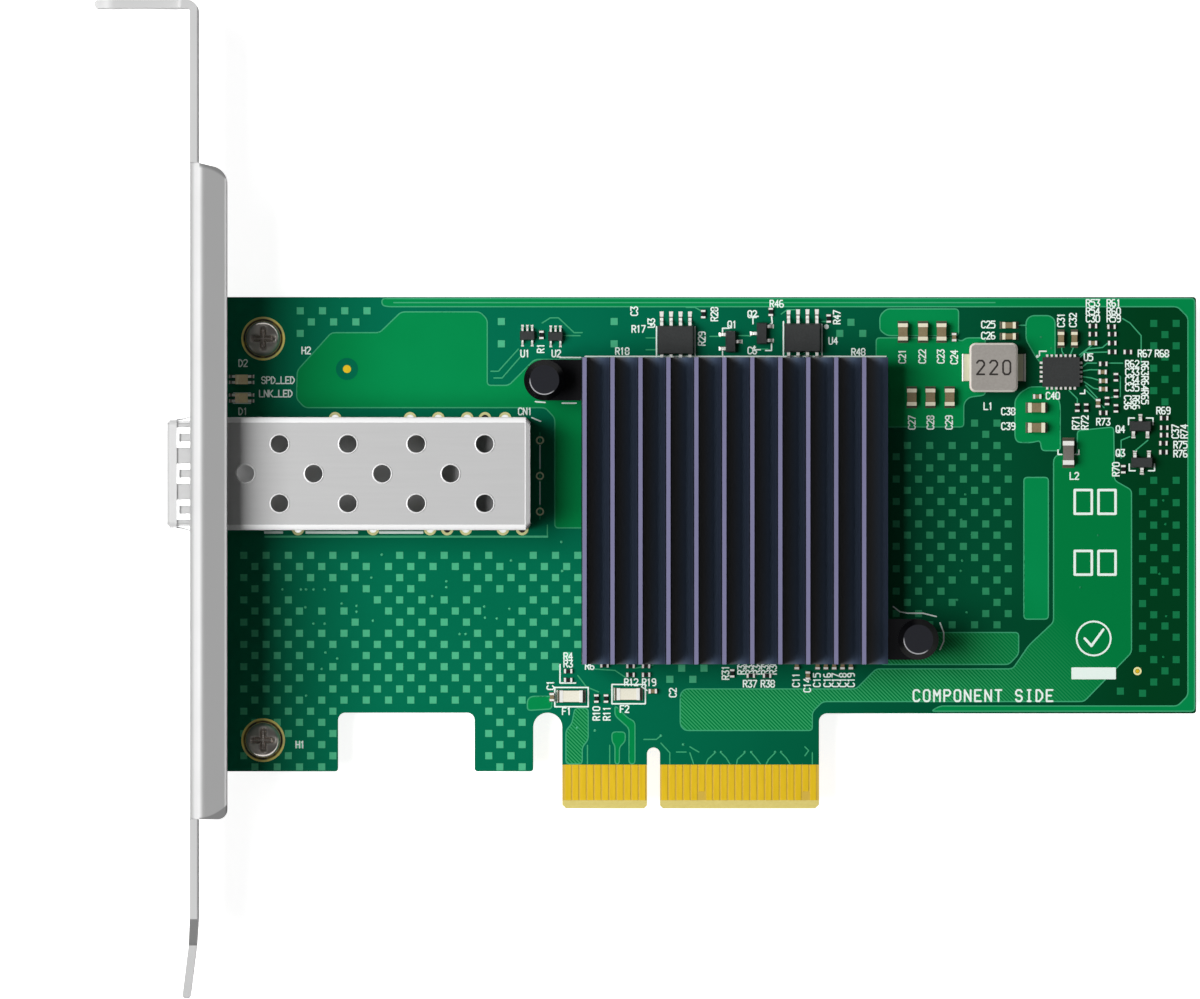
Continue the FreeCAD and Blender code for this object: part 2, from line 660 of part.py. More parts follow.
def cage_shell():
    """Folded roof, sides and back wall, with vents and press-in legs."""
    inside = cage_form(CAGE_WALL)
    x_span = (CAGE_FRONT - 1, CAGE_BACK - CAGE_WALL)
    hollow = inside.common(box(x_span, around(CAGE_Y, 40), (TOP - 1, CAGE_Z1 + 1)))
    nose_floor = box((CAGE_FRONT - 1, FACE_INNER + 1), around(CAGE_Y, NOSE_WIDTH - 2 * CAGE_CORNER),
                     (TOP - 1, PORT_Z))
    body_floor = box((FACE_INNER, CAGE_BACK - CAGE_WALL), around(CAGE_Y, CAGE_WIDTH - 2 * CAGE_CORNER),
                     (TOP - 1, PORT_Z))
    shell = cage_form(0).cut([hollow, nose_floor, body_floor] + cage_vents() + cage_side_vents())
    shell = shell.cut(profile_along_x(
        rounded(around(CAGE_Y, NOSE_WIDTH - 2 * CAGE_WALL),
                (NOSE_Z0 + CAGE_WALL, NOSE_Z1 - CAGE_WALL), 0.4), (CAGE_FRONT - 1, CAGE_FRONT + 1)))
    legs = [cage_pin(x, y) for x, y in cage_pin_places()]
    return fused([shell] + legs)


def latch_window():
    """Slots that free the latch tab, and the three-cornered hole in it."""
    low = TOP - 1
    high = PORT_Z
    start = CAGE_FRONT - 1
    end = CAGE_FRONT + LATCH_LENGTH
    cuts = []
    for side in (-1, 1):
        middle = CAGE_Y + side * (LATCH_WIDTH + LATCH_SLOT) / 2
        cuts.append(box((start, end), around(middle, LATCH_SLOT), (low, high)))
    hole = [
        (CAGE_FRONT + 2.4, CAGE_Y, 0),
        (CAGE_FRONT + 5.0, CAGE_Y - 1.6, 0),
        (CAGE_FRONT + 5.0, CAGE_Y + 1.6, 0),
    ]
    cuts.append(slab(hole, (low, high)))
    return cuts


def cage_base():
    """Folded floor with the latch tab and low sides behind the bracket, inside the shell."""
    outside = cage_form(CAGE_WALL + BASE_CLEARANCE)
    inside = cage_form(2 * CAGE_WALL + BASE_CLEARANCE)
    floor_top = NOSE_Z0 + 2 * CAGE_WALL + BASE_CLEARANCE
    step_end = FACE_INNER + STEP_START + STEP_LENGTH
    keep = box((CAGE_FRONT, CONNECTOR_FRONT - 1.6), around(CAGE_Y, 40),
               (TOP, CAGE_Z0 + CAGE_WALL + BASE_WALL_HEIGHT))
    nose_walls = box((CAGE_FRONT - 1, step_end), around(CAGE_Y, 40), (floor_top, CAGE_Z1))
    return outside.common(keep).cut([inside, nose_walls] + latch_window())


def collar_finger(side_length, index, count, top_z, half_width):
    """Bowed spring strip; drawn on the roof, then placed by cage_collar."""
    offset = (index - (count - 1) / 2) * side_length
    root = COLLAR_START + COLLAR_WIDTH
    tip = FACE_INNER + FINGER_PAST_FACE
    low = top_z + COLLAR_CLEARANCE
    inner = []
    for step in range(FINGER_STEPS + 1):
        share = step / FINGER_STEPS
        bulge = FINGER_BULGE * math.sin(math.pi * share ** FINGER_CREST)
        inner.append((root + (tip - root) * share, low + bulge))
    outer = [(x, z + COLLAR_T) for x, z in reversed(inner)]
    points = [V(x, 0, z) for x, z in inner + outer]
    strip = Part.Face(Part.makePolygon(points + points[:1])).extrude(V(0, 2 * half_width, 0))
    strip.translate(V(0, CAGE_Y + offset - half_width, 0))
    slot_start = root + FINGER_SLOT[0]
    slot = box((slot_start, slot_start + FINGER_SLOT[1]), around(CAGE_Y + offset, FINGER_SLOT[2]),
               (low - 1, low + FINGER_BULGE + 1))
    return strip.cut(slot)


def cage_collar():
    """Spring collar round the nose, with bowed grounding fingers on four sides."""
    gap = COLLAR_CLEARANCE
    x_span = (COLLAR_START, COLLAR_START + COLLAR_WIDTH)
    nose_y = around(CAGE_Y, NOSE_WIDTH + 2 * gap)
    nose_z = (NOSE_Z0 - gap, NOSE_Z1 + gap)
    out_y = around(CAGE_Y, NOSE_WIDTH + 2 * gap + 2 * COLLAR_T)
    out_z = (nose_z[0] - COLLAR_T, nose_z[1] + COLLAR_T)
    ring = profile_along_x(rounded(out_y, out_z, CAGE_CORNER + COLLAR_T), x_span)
    ring = ring.cut(profile_along_x(rounded(nose_y, nose_z, CAGE_CORNER), (x_span[0] - 1, x_span[1] + 1)))
    pieces = [ring]
    half = FINGER_WIDTH / 2
    centre = V(0, CAGE_Y, PORT_Z)
    for index in range(3):
        roof = collar_finger(FINGER_PITCH, index, 3, NOSE_Z1, half)
        floor = roof.copy()
        floor.rotate(centre, V(1, 0, 0), 180)
        pieces += [roof, floor]
    side_top = PORT_Z + NOSE_WIDTH / 2
    for index in range(2):
        roof = collar_finger(FINGER_PITCH - 0.9, index, 2, side_top, half)
        for angle in (90, -90):
            side = roof.copy()
            side.rotate(centre, V(1, 0, 0), angle)
            pieces.append(side)
    return fused(pieces)


# ================================================================ connector
def connector_contacts():
    """Two rows of bent strips: the upper ends at the back, the lower at the front."""
    strips = []
    slot = TOP + MODULE_SLOT_Z
    back = CONNECTOR_FRONT + CONNECTOR_LENGTH
    upper_z = slot + MODULE_SLOT_HEIGHT / 2
    lower_z = slot - MODULE_SLOT_HEIGHT / 2 - CONTACT_T
    lead = CONTACT_T
    foot = TOP + PAD_T
    upper = [
        (CONNECTOR_FRONT + 1.0, upper_z + lead),
        (back + lead, upper_z + lead),
        (back + lead, foot + lead),
        (back + 1.2, foot + lead),
        (back + 1.2, foot),
        (back, foot),
        (back, upper_z),
        (CONNECTOR_FRONT + 1.0, upper_z),
    ]
    lower = [
        (CONNECTOR_FRONT + MODULE_SLOT_DEPTH, lower_z),
        (CONNECTOR_FRONT - lead, lower_z),
        (CONNECTOR_FRONT - lead, foot + lead),
        (CONNECTOR_FRONT - 1.2, foot + lead),
        (CONNECTOR_FRONT - 1.2, foot),
        (CONNECTOR_FRONT, foot),
        (CONNECTOR_FRONT, lower_z - lead),
        (CONNECTOR_FRONT + MODULE_SLOT_DEPTH, lower_z - lead),
    ]
    for index in range(CONTACTS_PER_ROW):
        step = (index - (CONTACTS_PER_ROW - 1) / 2) * CONTACT_PITCH
        strips.append(profile_along_y(upper, around(CAGE_Y + step + CONTACT_PITCH / 4, CONTACT_STRIP)))
        strips.append(profile_along_y(lower, around(CAGE_Y + step - CONTACT_PITCH / 4, CONTACT_STRIP)))
    return strips


def connector_housing(contacts):
    """Moulded body with the module's slot, a lead-in and a groove for each contact."""
    x_span = (CONNECTOR_FRONT, CONNECTOR_FRONT + CONNECTOR_LENGTH)
    y_span = around(CAGE_Y, CONNECTOR_WIDTH)
    foot = TOP + PAD_T
    slot_z = TOP + MODULE_SLOT_Z
    section = [
        (x_span[0], foot),
        (x_span[1], foot),
        (x_span[1], TOP + CONNECTOR_HEIGHT - HOUSING_BEVEL),
        (x_span[1] - HOUSING_BEVEL, TOP + CONNECTOR_HEIGHT),
        (x_span[0] + HOUSING_SLOPE[0], TOP + CONNECTOR_HEIGHT),
        (x_span[0], TOP + CONNECTOR_HEIGHT - HOUSING_SLOPE[1]),
    ]
    body = profile_along_y(section, y_span)
    mouth = box((x_span[0] - 1, x_span[0] + MODULE_SLOT_DEPTH), around(CAGE_Y, MODULE_SLOT_WIDTH),
                around(slot_z, MODULE_SLOT_HEIGHT))
    lead_in = profile_along_y([
        (x_span[0] - ARC_TRIM, slot_z - MODULE_SLOT_HEIGHT / 2 - SLOT_FLARE),
        (x_span[0] + SLOT_FLARE_DEPTH, slot_z),
        (x_span[0] - ARC_TRIM, slot_z + MODULE_SLOT_HEIGHT / 2 + SLOT_FLARE),
    ], around(CAGE_Y, MODULE_SLOT_WIDTH + SLOT_FLARE))
    return body.cut([mouth, lead_in] + contacts)


# ================================================================ heatsink
def heatsink():
    """Extruded base and fins, with a round-ended ear at two opposite corners."""
    deck = SINK_DECK
    tip = SINK_Z0 + SINK_HEIGHT
    points = [(SINK_LEFT, SINK_Z0), (SINK_RIGHT, SINK_Z0), (SINK_RIGHT, deck)]
    taper = (FIN_ROOT - FIN_TIP) / 2
    for index in reversed(range(FIN_COUNT)):
        left = SINK_LEFT + taper + FIN_PITCH * index
        points += [
            (left + FIN_TIP + taper, deck),
            (left + FIN_TIP, tip),
            (left, tip),
            (left - taper, deck),
        ]
    pieces = [profile_along_y(points, (SINK_LOW, SINK_HIGH))]
    for side, (x, y) in zip((-1, 1), PUSH_PINS):
        inner = SINK_LEFT + 1 if side < 0 else SINK_RIGHT - 1
        ends = sorted((x + side * EAR_R, inner))
        round_end = EAR_R - ARC_TRIM
        left_r, right_r = (round_end, 0) if side < 0 else (0, round_end)
        corners = [
            (ends[0], y - EAR_R, left_r),
            (ends[1], y - EAR_R, right_r),
            (ends[1], y + EAR_R, right_r),
            (ends[0], y + EAR_R, left_r),
        ]
        pieces.append(slab(corners, (SINK_Z0, deck)))
    holes = [drill(PUSH_HOLE_R, V(x, y, SINK_Z0 - 1), V(x, y, deck + 1)) for x, y in PUSH_PINS]
    return fused(pieces).cut(holes)


def spring_height():
    """Free height of the coil between the ear and the push pin's head."""
    return SPRING_TURNS * SPRING_PITCH + 2 * SPRING_WIRE_R


def push_pins():
    """Moulded push pins with a domed head and a split barb under the board."""
    pins = []
    under_head = SINK_DECK + spring_height() + HEAD_GAP
    barb_top = BOTTOM - BARB_GAP
    for x, y in PUSH_PINS:
        section = [
            (0, under_head + PUSH_HEAD_H),
            (PUSH_HEAD_FLAT_R, under_head + PUSH_HEAD_H),
            (PUSH_HEAD_R, under_head + PUSH_HEAD_H * PUSH_HEAD_RIM),
            (PUSH_HEAD_R, under_head),
            (PUSH_SHAFT_R, under_head),
            (PUSH_SHAFT_R, barb_top),
            (PUSH_BARB_R, barb_top),
            (PUSH_SHAFT_R * 0.6, barb_top - PUSH_BARB_H),
            (0, barb_top - PUSH_BARB_H),
        ]
        split = box(around(x, 6 * PUSH_SPLIT), around(y, PUSH_SPLIT),
                    (barb_top - PUSH_BARB_H - 1, SINK_Z0))
        pins.append(turned(section, x, y).cut(split))
    return pins


def wire_section(x, y, angle, z):
    """Six-sided section of the spring's wire, standing across the coil."""
    points = []
    for corner in range(6):
        turn = math.pi * corner / 3
        radius = SPRING_R + SPRING_WIRE_R * math.cos(turn)
        points.append(V(x + radius * math.cos(angle), y + radius * math.sin(angle),
                        z + SPRING_WIRE_R * math.sin(turn)))
    return Part.makePolygon(points + points[:1])


def pin_springs():
    """Round-wire coils that press the heatsink down from under the pins' heads."""
    springs = []
    steps = SPRING_TURNS * SPRING_STEPS
    for x, y in PUSH_PINS:
        rings = []
        for step in range(steps + 1):
            angle = 2 * math.pi * step / SPRING_STEPS
            lift = SINK_DECK + SPRING_WIRE_R + SPRING_GAP + SPRING_PITCH * step / SPRING_STEPS
            rings.append(wire_section(x, y, angle, lift))
        springs.append(Part.makeLoft(rings, True, True))
    return springs


def controller_chip():
    """Ball-grid package: a square substrate with a smaller moulded cap."""
    x, y = SINK_CENTRE
    floor = TOP + CHIP_STANDOFF
    deck = floor + SUBSTRATE_T
    substrate = box(around(x, CHIP_SIZE), around(y, CHIP_SIZE), (floor, deck))
    cap = box(around(x, LID_SIZE), around(y, LID_SIZE), (deck, LID_TOP))
    cap = cap.makeChamfer(LID_BEVEL, [edge for edge in cap.Edges if edge.BoundBox.ZMin > LID_TOP - ARC_TRIM])
    return fused([substrate, cap])


def thermal_pad():
    """Soft pad between the chip and the heatsink."""
    x, y = SINK_CENTRE
    return box(around(x, PAD_SIZE), around(y, PAD_SIZE), (LID_TOP, SINK_Z0))


# ================================================================ small parts
# Two-ended parts are given as (x, y) places and whether they stand along Y.
CHIP_SIZES = {
    "large": (2.3, 1.3, 1.25, 0.5),     # length, width, height, end length
    "medium": (1.8, 0.85, 0.8, 0.4),
    "small": (1.1, 0.6, 0.5, 0.28),
    "flat": (1.1, 0.58, 0.35, 0.26),
    "fuse": (3.1, 1.6, 0.8, 0.45),
    "bead": (3.2, 1.5, 1.2, 0.6),
}
END_STEP = 0.04             # ends stand proud of the body by this much

LARGE_CAPS = [(33.6, 64.2, True), (36.3, 64.2, True), (38.8, 64.2, True),
              (34.8, 55.4, True), (37.3, 55.4, True), (39.9, 55.4, True),
              (51.6, 54.0, False), (51.6, 51.3, False)]
MEDIUM_CAPS = [(47.9, 65.1, False), (47.9, 63.6, False), (54.9, 63.3, True), (56.7, 63.3, True)]
SMALL_CAPS = [(59.2, 62.7, False), (60.5, 58.8, False), (60.6, 57.6, False), (60.6, 56.5, False),
              (51.7, 55.5, False), (-0.1, 15.8, False), (40.5, 63.5, True), (59.9, 54.6, True),
              (-13.7, 15.0, True), (20.8, 17.9, True)]
COUPLING_ROW = [(22.1 + 1.12 * index, 19.3, True) for index in range(5)] + [(19.3, 19.3, True)]
RESISTORS = [(59.2, 65.0, False), (59.2, 63.9, False), (61.7, 64.9, False), (61.8, 63.9, False),
             (61.8, 62.7, False), (61.8, 61.5, False), (63.9, 61.5, False), (60.6, 59.9, False),
             (60.6, 53.3, False), (68.8, 52.6, False), (68.8, 51.3, False), (68.8, 50.3, False),
             (68.7, 49.2, False), (68.7, 48.0, False), (-11.5, 18.5, False), (-11.5, 17.3, False),
             (-6.6, 19.3, False), (-3.1, 19.2, False), (-1.0, 19.2, False), (-3.1, 18.0, False),
             (-1.0, 18.0, False), (13.1, 17.9, False), (15.3, 17.9, False),
             (62.3, 58.1, True), (62.3, 55.9, True), (61.1, 54.9, True), (62.3, 53.9, True),
             (57.1, 54.0, True), (58.3, 54.0, True), (63.3, 45.7, True), (-7.7, 14.8, True),
             (-6.4, 14.8, True), (-15.1, 63.8, True), (10.6, 18.2, True), (6.7, 66.6, True),
             (15.8, 66.9, True), (23.6, 66.0, True)]
FUSES = [(-11.1, 15.1, False), (-3.4, 15.4, False)]
BEADS = [(55.9, 47.9, True)]


def chip_part(kind, place):
    """Body and two wrapped ends of a two-ended part."""
    length, width, height, end = CHIP_SIZES[kind]
    x, y, upright = place
    step = END_STEP
    body_z = (TOP + PAD_T + step, TOP + PAD_T + height - step)
    end_z = (TOP + PAD_T, TOP + PAD_T + height)
    half = length / 2
    body = box((x - half + end, x + half - end), around(y, width - 2 * step), body_z)
    ends = [
        box((x - half, x - half + end), around(y, width), end_z),
        box((x + half - end, x + half), around(y, width), end_z),
    ]
    if upright:
        for shape in [body] + ends:
            shape.rotate(V(x, y, 0), V(0, 0, 1), 90)
    return body, ends


def chip_parts(kind, places):
    """Bodies and ends of a list of two-ended parts."""
    pairs = [chip_part(kind, place) for place in places]
    bodies = [body for body, _ in pairs]
    ends = [end for _, both in pairs for end in both]
    return bodies, ends


# Leaded packages: body length, width, height, stand-off, lead span, lead width, pitch.
PACKAGES = {
    "eight_lead": (4.9, 3.9, 1.5, 0.15, 6.0, 0.42, 1.27),
    "five_lead": (2.0, 1.25, 0.9, 0.08, 2.2, 0.25, 0.65),
    "three_lead": (2.9, 1.4, 1.0, 0.08, 2.5, 0.42, 0.95),
}
LEAD_T = 0.18


def package_body(kind, x, y, angle):
    """Moulded body with drafted upper and lower halves."""
    length, width, height, standoff = PACKAGES[kind][:4]
    seat = TOP + PAD_T + standoff
    draft = 0.12 * height
    waist = seat + height * 0.45

    def rectangle(inset, z):
        spans = (around(x, length - 2 * inset), around(y, width - 2 * inset))
        corners = [V(spans[0][i], spans[1][j], z) for i, j in ((0, 0), (1, 0), (1, 1), (0, 1))]
        return Part.makePolygon(corners + corners[:1])

    lower = Part.makeLoft([rectangle(draft, seat), rectangle(0, waist)], True, True)
    upper = Part.makeLoft([rectangle(0, waist), rectangle(draft, seat + height)], True, True)
    body = lower.fuse(upper)
    body.rotate(V(x, y, 0), V(0, 0, 1), angle)
    return body


def gull_lead(kind, x, y, angle, offset, side):
    """One gull-wing lead: shoulder at the body's waist, slope and foot."""
    _, width, height, standoff, span, lead_width = PACKAGES[kind][:6]
    waist = TOP + PAD_T + standoff + height * 0.45
    foot = TOP + PAD_T
    reach = (span - width) / 2
    start = width / 2
    section = [
        (start, waist - LEAD_T / 2),
        (start + reach * 0.25, waist - LEAD_T / 2),
        (start + reach * 0.5, foot),
        (start + reach, foot),
        (start + reach, foot + LEAD_T),
        (start + reach * 0.5 + LEAD_T, foot + LEAD_T),
        (start + reach * 0.25 + LEAD_T, waist + LEAD_T / 2),
        (start, waist + LEAD_T / 2),
    ]
    lead = profile_along_y(section, around(0, lead_width))
    lead.rotate(V(0, 0, 0), V(0, 0, 1), 90 * side)
    lead.translate(V(x + offset, y, 0))
    lead.rotate(V(x, y, 0), V(0, 0, 1), angle)
    return lead


# (package, x, y, turn in degrees, lead steps on the +Y side, lead steps on the -Y side)
EVEN_FOUR = (-1.5, -0.5, 0.5, 1.5)
MEMORY_CHIPS = [("eight_lead", 3.0, 63.1, 0, EVEN_FOUR, EVEN_FOUR),
                ("eight_lead", 20.1, 63.4, 0, EVEN_FOUR, EVEN_FOUR)]
LOGIC_CHIPS = [("five_lead", -17.0, 63.7, 0, (-1, 0, 1), (-1, 1)),
               ("five_lead", -13.2, 63.6, 0, (-1, 0, 1), (-1, 1))]
TRANSISTORS = [("three_lead", 65.6, 51.5, 0, (0,), (-1, 1)),
               ("three_lead", 65.8, 46.6, 180, (0,), (-1, 1)),
               ("three_lead", 10.4, 62.9, -90, (0,), (-1, 1)),
               ("three_lead", 14.6, 64.0, 90, (0,), (-1, 1))]


def leaded_parts(entries):
    """Bodies and leads of a list of leaded packages."""
    bodies = []
    leads = []
    for kind, x, y, angle, high, low in entries:
        pitch = PACKAGES[kind][6]
        bodies.append(package_body(kind, x, y, angle))
        leads += [gull_lead(kind, x, y, angle, pitch * step, 1) for step in high]
        leads += [gull_lead(kind, x, y, angle, pitch * step, -1) for step in low]
    return bodies, leads


INDUCTOR_PLACE = (45.8, 59.4)
INDUCTOR_SIZE = (6.5, 6.6, 3.0)
INDUCTOR_END = (0.75, 3.6, 1.6, 0.2)    # reach, width, rise, thickness


def inductor():
    """Pressed-powder block with softened upright corners and a bevelled top."""
    x, y = INDUCTOR_PLACE
    length, width, height = INDUCTOR_SIZE
    seat = TOP + PAD_T + INDUCTOR_END[3]
    block = slab(rounded(around(x, length), around(y, width), 0.8), (seat, TOP + height))
    top_edges = [edge for edge in block.Edges if edge.BoundBox.ZMin > TOP + height - ARC_TRIM]
    return block.makeChamfer(0.25, top_edges)


def inductor_ends():
    """Flat strips folded out from under the block and up its ends."""
    x, y = INDUCTOR_PLACE
    reach, width, rise, sheet = INDUCTOR_END
    foot = TOP + PAD_T
    edge = INDUCTOR_SIZE[0] / 2
    strips = []
    for side in (-1, 1):
        section = [
            (x + side * (edge - 1.6), foot),
            (x + side * (edge + reach), foot),
            (x + side * (edge + reach), foot + sheet),
            (x + side * (edge + sheet), foot + sheet),
            (x + side * (edge + sheet), foot + rise),
            (x + side * edge, foot + rise),
            (x + side * edge, foot + sheet),
            (x + side * (edge - 1.6), foot + sheet),
        ]
        strips.append(profile_along_y(section, around(y, width)))
    return strips


REGULATOR_PLACE = (54.9, 58.8)
REGULATOR_SIZE = (5.0, 4.0, 0.85)
REGULATOR_PITCH = 0.62
REGULATOR_PAD = (0.3, 0.35, 0.2)        # width, reach past the body, height


def regulator():
    """Leadless power package."""
    x, y = REGULATOR_PLACE
    length, width, height = REGULATOR_SIZE
    seat = TOP + PAD_T
    return box(around(x, length), around(y, width), (seat, seat + height))


def regulator_pads():
    """Terminals round the leadless package, touching its sides."""
    x, y = REGULATOR_PLACE
    length, width, _ = REGULATOR_SIZE
    pad_width, reach, height = REGULATOR_PAD
    seat = TOP + PAD_T
    z_span = (seat, seat + height)
    pads = []
    for index in range(7):
        middle = x + (index - 3) * REGULATOR_PITCH
        for side in (-1, 1):
            ends = sorted((y + side * width / 2, y + side * (width / 2 + reach)))
            pads.append(box(around(middle, pad_width), ends, z_span))
    for index in range(5):
        middle = y + (index - 2) * REGULATOR_PITCH
        for side in (-1, 1):
            ends = sorted((x + side * length / 2, x + side * (length / 2 + reach)))
            pads.append(box(ends, around(middle, pad_width), z_span))
    return pads


def light_parts():
    """Side-view lamps behind the bracket's light holes, with their end terminals."""
    bodies = []
    ends = []
    length, width, height = LED_BODY
    seat = TOP + PAD_T
    for y in LED_YS:
        section = [
            (LED_X - length / 2, seat, 0),
            (LED_X + length / 2, seat, 0),
            (LED_X + length / 2, seat + height, 0),
            (LED_X - length / 2 + LED_BEVEL, seat + height, 0),
            (LED_X - length / 2, seat + height - LED_BEVEL, 0),
        ]
        bodies.append(profile_along_y(section, around(y, width)))
        for side in (-1, 1):
            end_x = sorted((LED_X + side * length / 2, LED_X + side * (length / 2 + LED_LEAD[0])))
            for offset in (-LED_LEAD_GAP / 2, LED_LEAD_GAP / 2):
                ends.append(box(end_x, around(y + offset, LED_LEAD[1]), (seat, seat + LED_LEAD[2])))
    return bodies, ends


# ================================================================ build
def build():
    """Write one STEP file for each node."""
    os.makedirs("parts", exist_ok=True)
    save("circuit_board", [circuit_board()])
    save("edge_contacts", edge_contacts())
    save("mounting_rings", mounting_rings())
    save("mounting_bracket", [mounting_bracket()])
    save("bracket_screws", bracket_screws())
    save("cage_shell", [cage_shell()])
    save("cage_base", [cage_base()])
    save("cage_collar", [cage_collar()])
    contacts = connector_contacts()
    save("connector_housing", [connector_housing(contacts)])
    save("connector_contacts", contacts)
    save("heatsink", [heatsink()])
    save("push_pins", push_pins())
    save("pin_springs", pin_springs())
    save("controller_chip", [controller_chip()])
    save("thermal_pad", [thermal_pad()])

    large_bodies, large_ends = chip_parts("large", LARGE_CAPS)
    medium_bodies, medium_ends = chip_parts("medium", MEDIUM_CAPS)
    save("large_capacitors", large_bodies + medium_bodies)
    save("large_capacitor_ends", large_ends + medium_ends)
    small_bodies, small_ends = chip_parts("small", SMALL_CAPS + COUPLING_ROW)
    save("small_capacitors", small_bodies)
    save("small_capacitor_ends", small_ends)
    for name, kind, places in (("resistor", "flat", RESISTORS), ("fuse", "fuse", FUSES),
                               ("ferrite_bead", "bead", BEADS)):
        bodies, ends = chip_parts(kind, places)
        save(name + "s", bodies)
        save(name + "_ends", ends)
    for name, entries in (("memory_chip", MEMORY_CHIPS), ("logic_chip", LOGIC_CHIPS),
                          ("transistor", TRANSISTORS)):
        bodies, leads = leaded_parts(entries)
        save(name + "s", bodies)
        save(name + "_leads", leads)
    save("inductor", [inductor()])
    save("inductor_ends", inductor_ends())
    save("regulator", [regulator()])
    save("regulator_pads", regulator_pads())
    lamps, lamp_ends = light_parts()
    save("lamps", lamps)
    save("lamp_ends", lamp_ends)


build()
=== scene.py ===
"""Looks of a PCI Express network card with an optical module cage and a finned heatsink.

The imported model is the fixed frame: its nodes keep their shape and get their finishes here.
What is printed, plated or soldered on the board is made here as thin surfaces. Lengths are
millimetres until a mesh is made.
"""

from __future__ import annotations

import logging
import math
from dataclasses import dataclass
from enum import Enum
from typing import Any, Callable, Iterable, Sequence

import bpy
import numpy as np
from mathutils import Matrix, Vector

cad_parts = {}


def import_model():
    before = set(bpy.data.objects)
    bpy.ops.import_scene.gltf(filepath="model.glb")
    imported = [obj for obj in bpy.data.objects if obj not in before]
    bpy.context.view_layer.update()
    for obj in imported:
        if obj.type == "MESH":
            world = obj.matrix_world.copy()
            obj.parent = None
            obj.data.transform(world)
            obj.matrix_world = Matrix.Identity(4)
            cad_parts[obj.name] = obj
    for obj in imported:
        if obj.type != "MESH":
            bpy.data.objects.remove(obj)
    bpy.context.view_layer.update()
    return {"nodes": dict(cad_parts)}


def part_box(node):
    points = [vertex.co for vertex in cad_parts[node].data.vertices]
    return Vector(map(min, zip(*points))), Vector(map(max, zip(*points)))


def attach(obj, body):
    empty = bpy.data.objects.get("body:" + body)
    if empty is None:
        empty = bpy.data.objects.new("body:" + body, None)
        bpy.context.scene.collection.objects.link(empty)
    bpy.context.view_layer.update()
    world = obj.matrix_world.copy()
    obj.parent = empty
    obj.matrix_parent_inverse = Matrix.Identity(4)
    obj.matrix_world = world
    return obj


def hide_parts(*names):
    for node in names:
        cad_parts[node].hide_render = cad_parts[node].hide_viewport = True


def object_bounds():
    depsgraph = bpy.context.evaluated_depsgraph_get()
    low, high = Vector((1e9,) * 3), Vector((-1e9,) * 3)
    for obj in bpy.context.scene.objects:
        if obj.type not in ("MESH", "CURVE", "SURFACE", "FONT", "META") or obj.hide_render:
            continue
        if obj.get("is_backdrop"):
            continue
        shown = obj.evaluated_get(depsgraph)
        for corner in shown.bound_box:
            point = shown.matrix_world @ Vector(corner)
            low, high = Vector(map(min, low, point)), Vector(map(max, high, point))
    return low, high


LOG = logging.getLogger("network_card")
MM = 0.001
# Step in height between strokes that follow each other.
LIFT = 0.0012
WHITE = (1, 1, 1, 1)
BLACK = (0, 0, 0, 1)

Colour = tuple[float, float, float, float]
Pair = tuple[float, float]
Material = bpy.types.Material
Shape = tuple[np.ndarray, list[list[int]]]


# ---- colour
def tint(red: int, green: int, blue: int) -> Colour:
    """Turn a display colour of 0 to 255 into the linear colour that a shader takes.

    Args:
        red, green, blue: display values.

    Returns:
        Linear red, green, blue and an alpha of 1.
    """
    values = np.array([red, green, blue]) / 255
    linear = np.where(values <= 0.04045, values / 12.92, ((values + 0.055) / 1.055) ** 2.4)
    return (*linear.tolist(), 1.0)


def grey(level: int) -> Colour:
    """A neutral colour of this display value."""
    return tint(level, level, level)


# ---- shader maths
def operator(operation: str) -> Callable[[Wire, Any], Wire]:
    """A method of Wire that adds this Math node."""
    return lambda wire, other: wire.math(operation, other)


class Wire:
    """One socket of a material's node tree, with arithmetic that adds Math nodes."""

    def __init__(self, graph: Tree, socket: bpy.types.NodeSocket) -> None:
        """Keep the socket and the tree that it belongs to."""
        self.graph, self.socket = graph, socket

    def math(self, operation: str, *others: Wire | float) -> Wire:
        """The result of one Math node that takes this first, then the others."""
        inputs = dict(enumerate((self, *others)))
        return self.graph.node("ShaderNodeMath", {"operation": operation}, inputs)

    __add__ = __radd__ = operator("ADD")
    __mul__ = __rmul__ = operator("MULTIPLY")
    __sub__, __truediv__, __pow__ = map(operator, ("SUBTRACT", "DIVIDE", "POWER"))

    def __rsub__(self, other: float) -> Wire:
        """Other minus this."""
        return self * -1.0 + other

    def above(self, limit: float, soft: float = 0.0) -> Wire:
        """1 where this is over limit and 0 elsewhere, with a soft edge if one is given."""
        if soft <= 0:
            return self.math("GREATER_THAN", limit)
        return ((self - (limit - soft / 2)) / soft).clamped()

    def below(self, limit: float, soft: float = 0.0) -> Wire:
        """1 where this is under limit and 0 elsewhere."""
        return 1.0 - self.above(limit, soft)

    def clamped(self) -> Wire:
        """This held between 0 and 1."""
        return self.math("MAXIMUM", 0.0).math("MINIMUM", 1.0)

    def size(self) -> Wire:
        """This without its sign."""
        return self.math("ABSOLUTE")


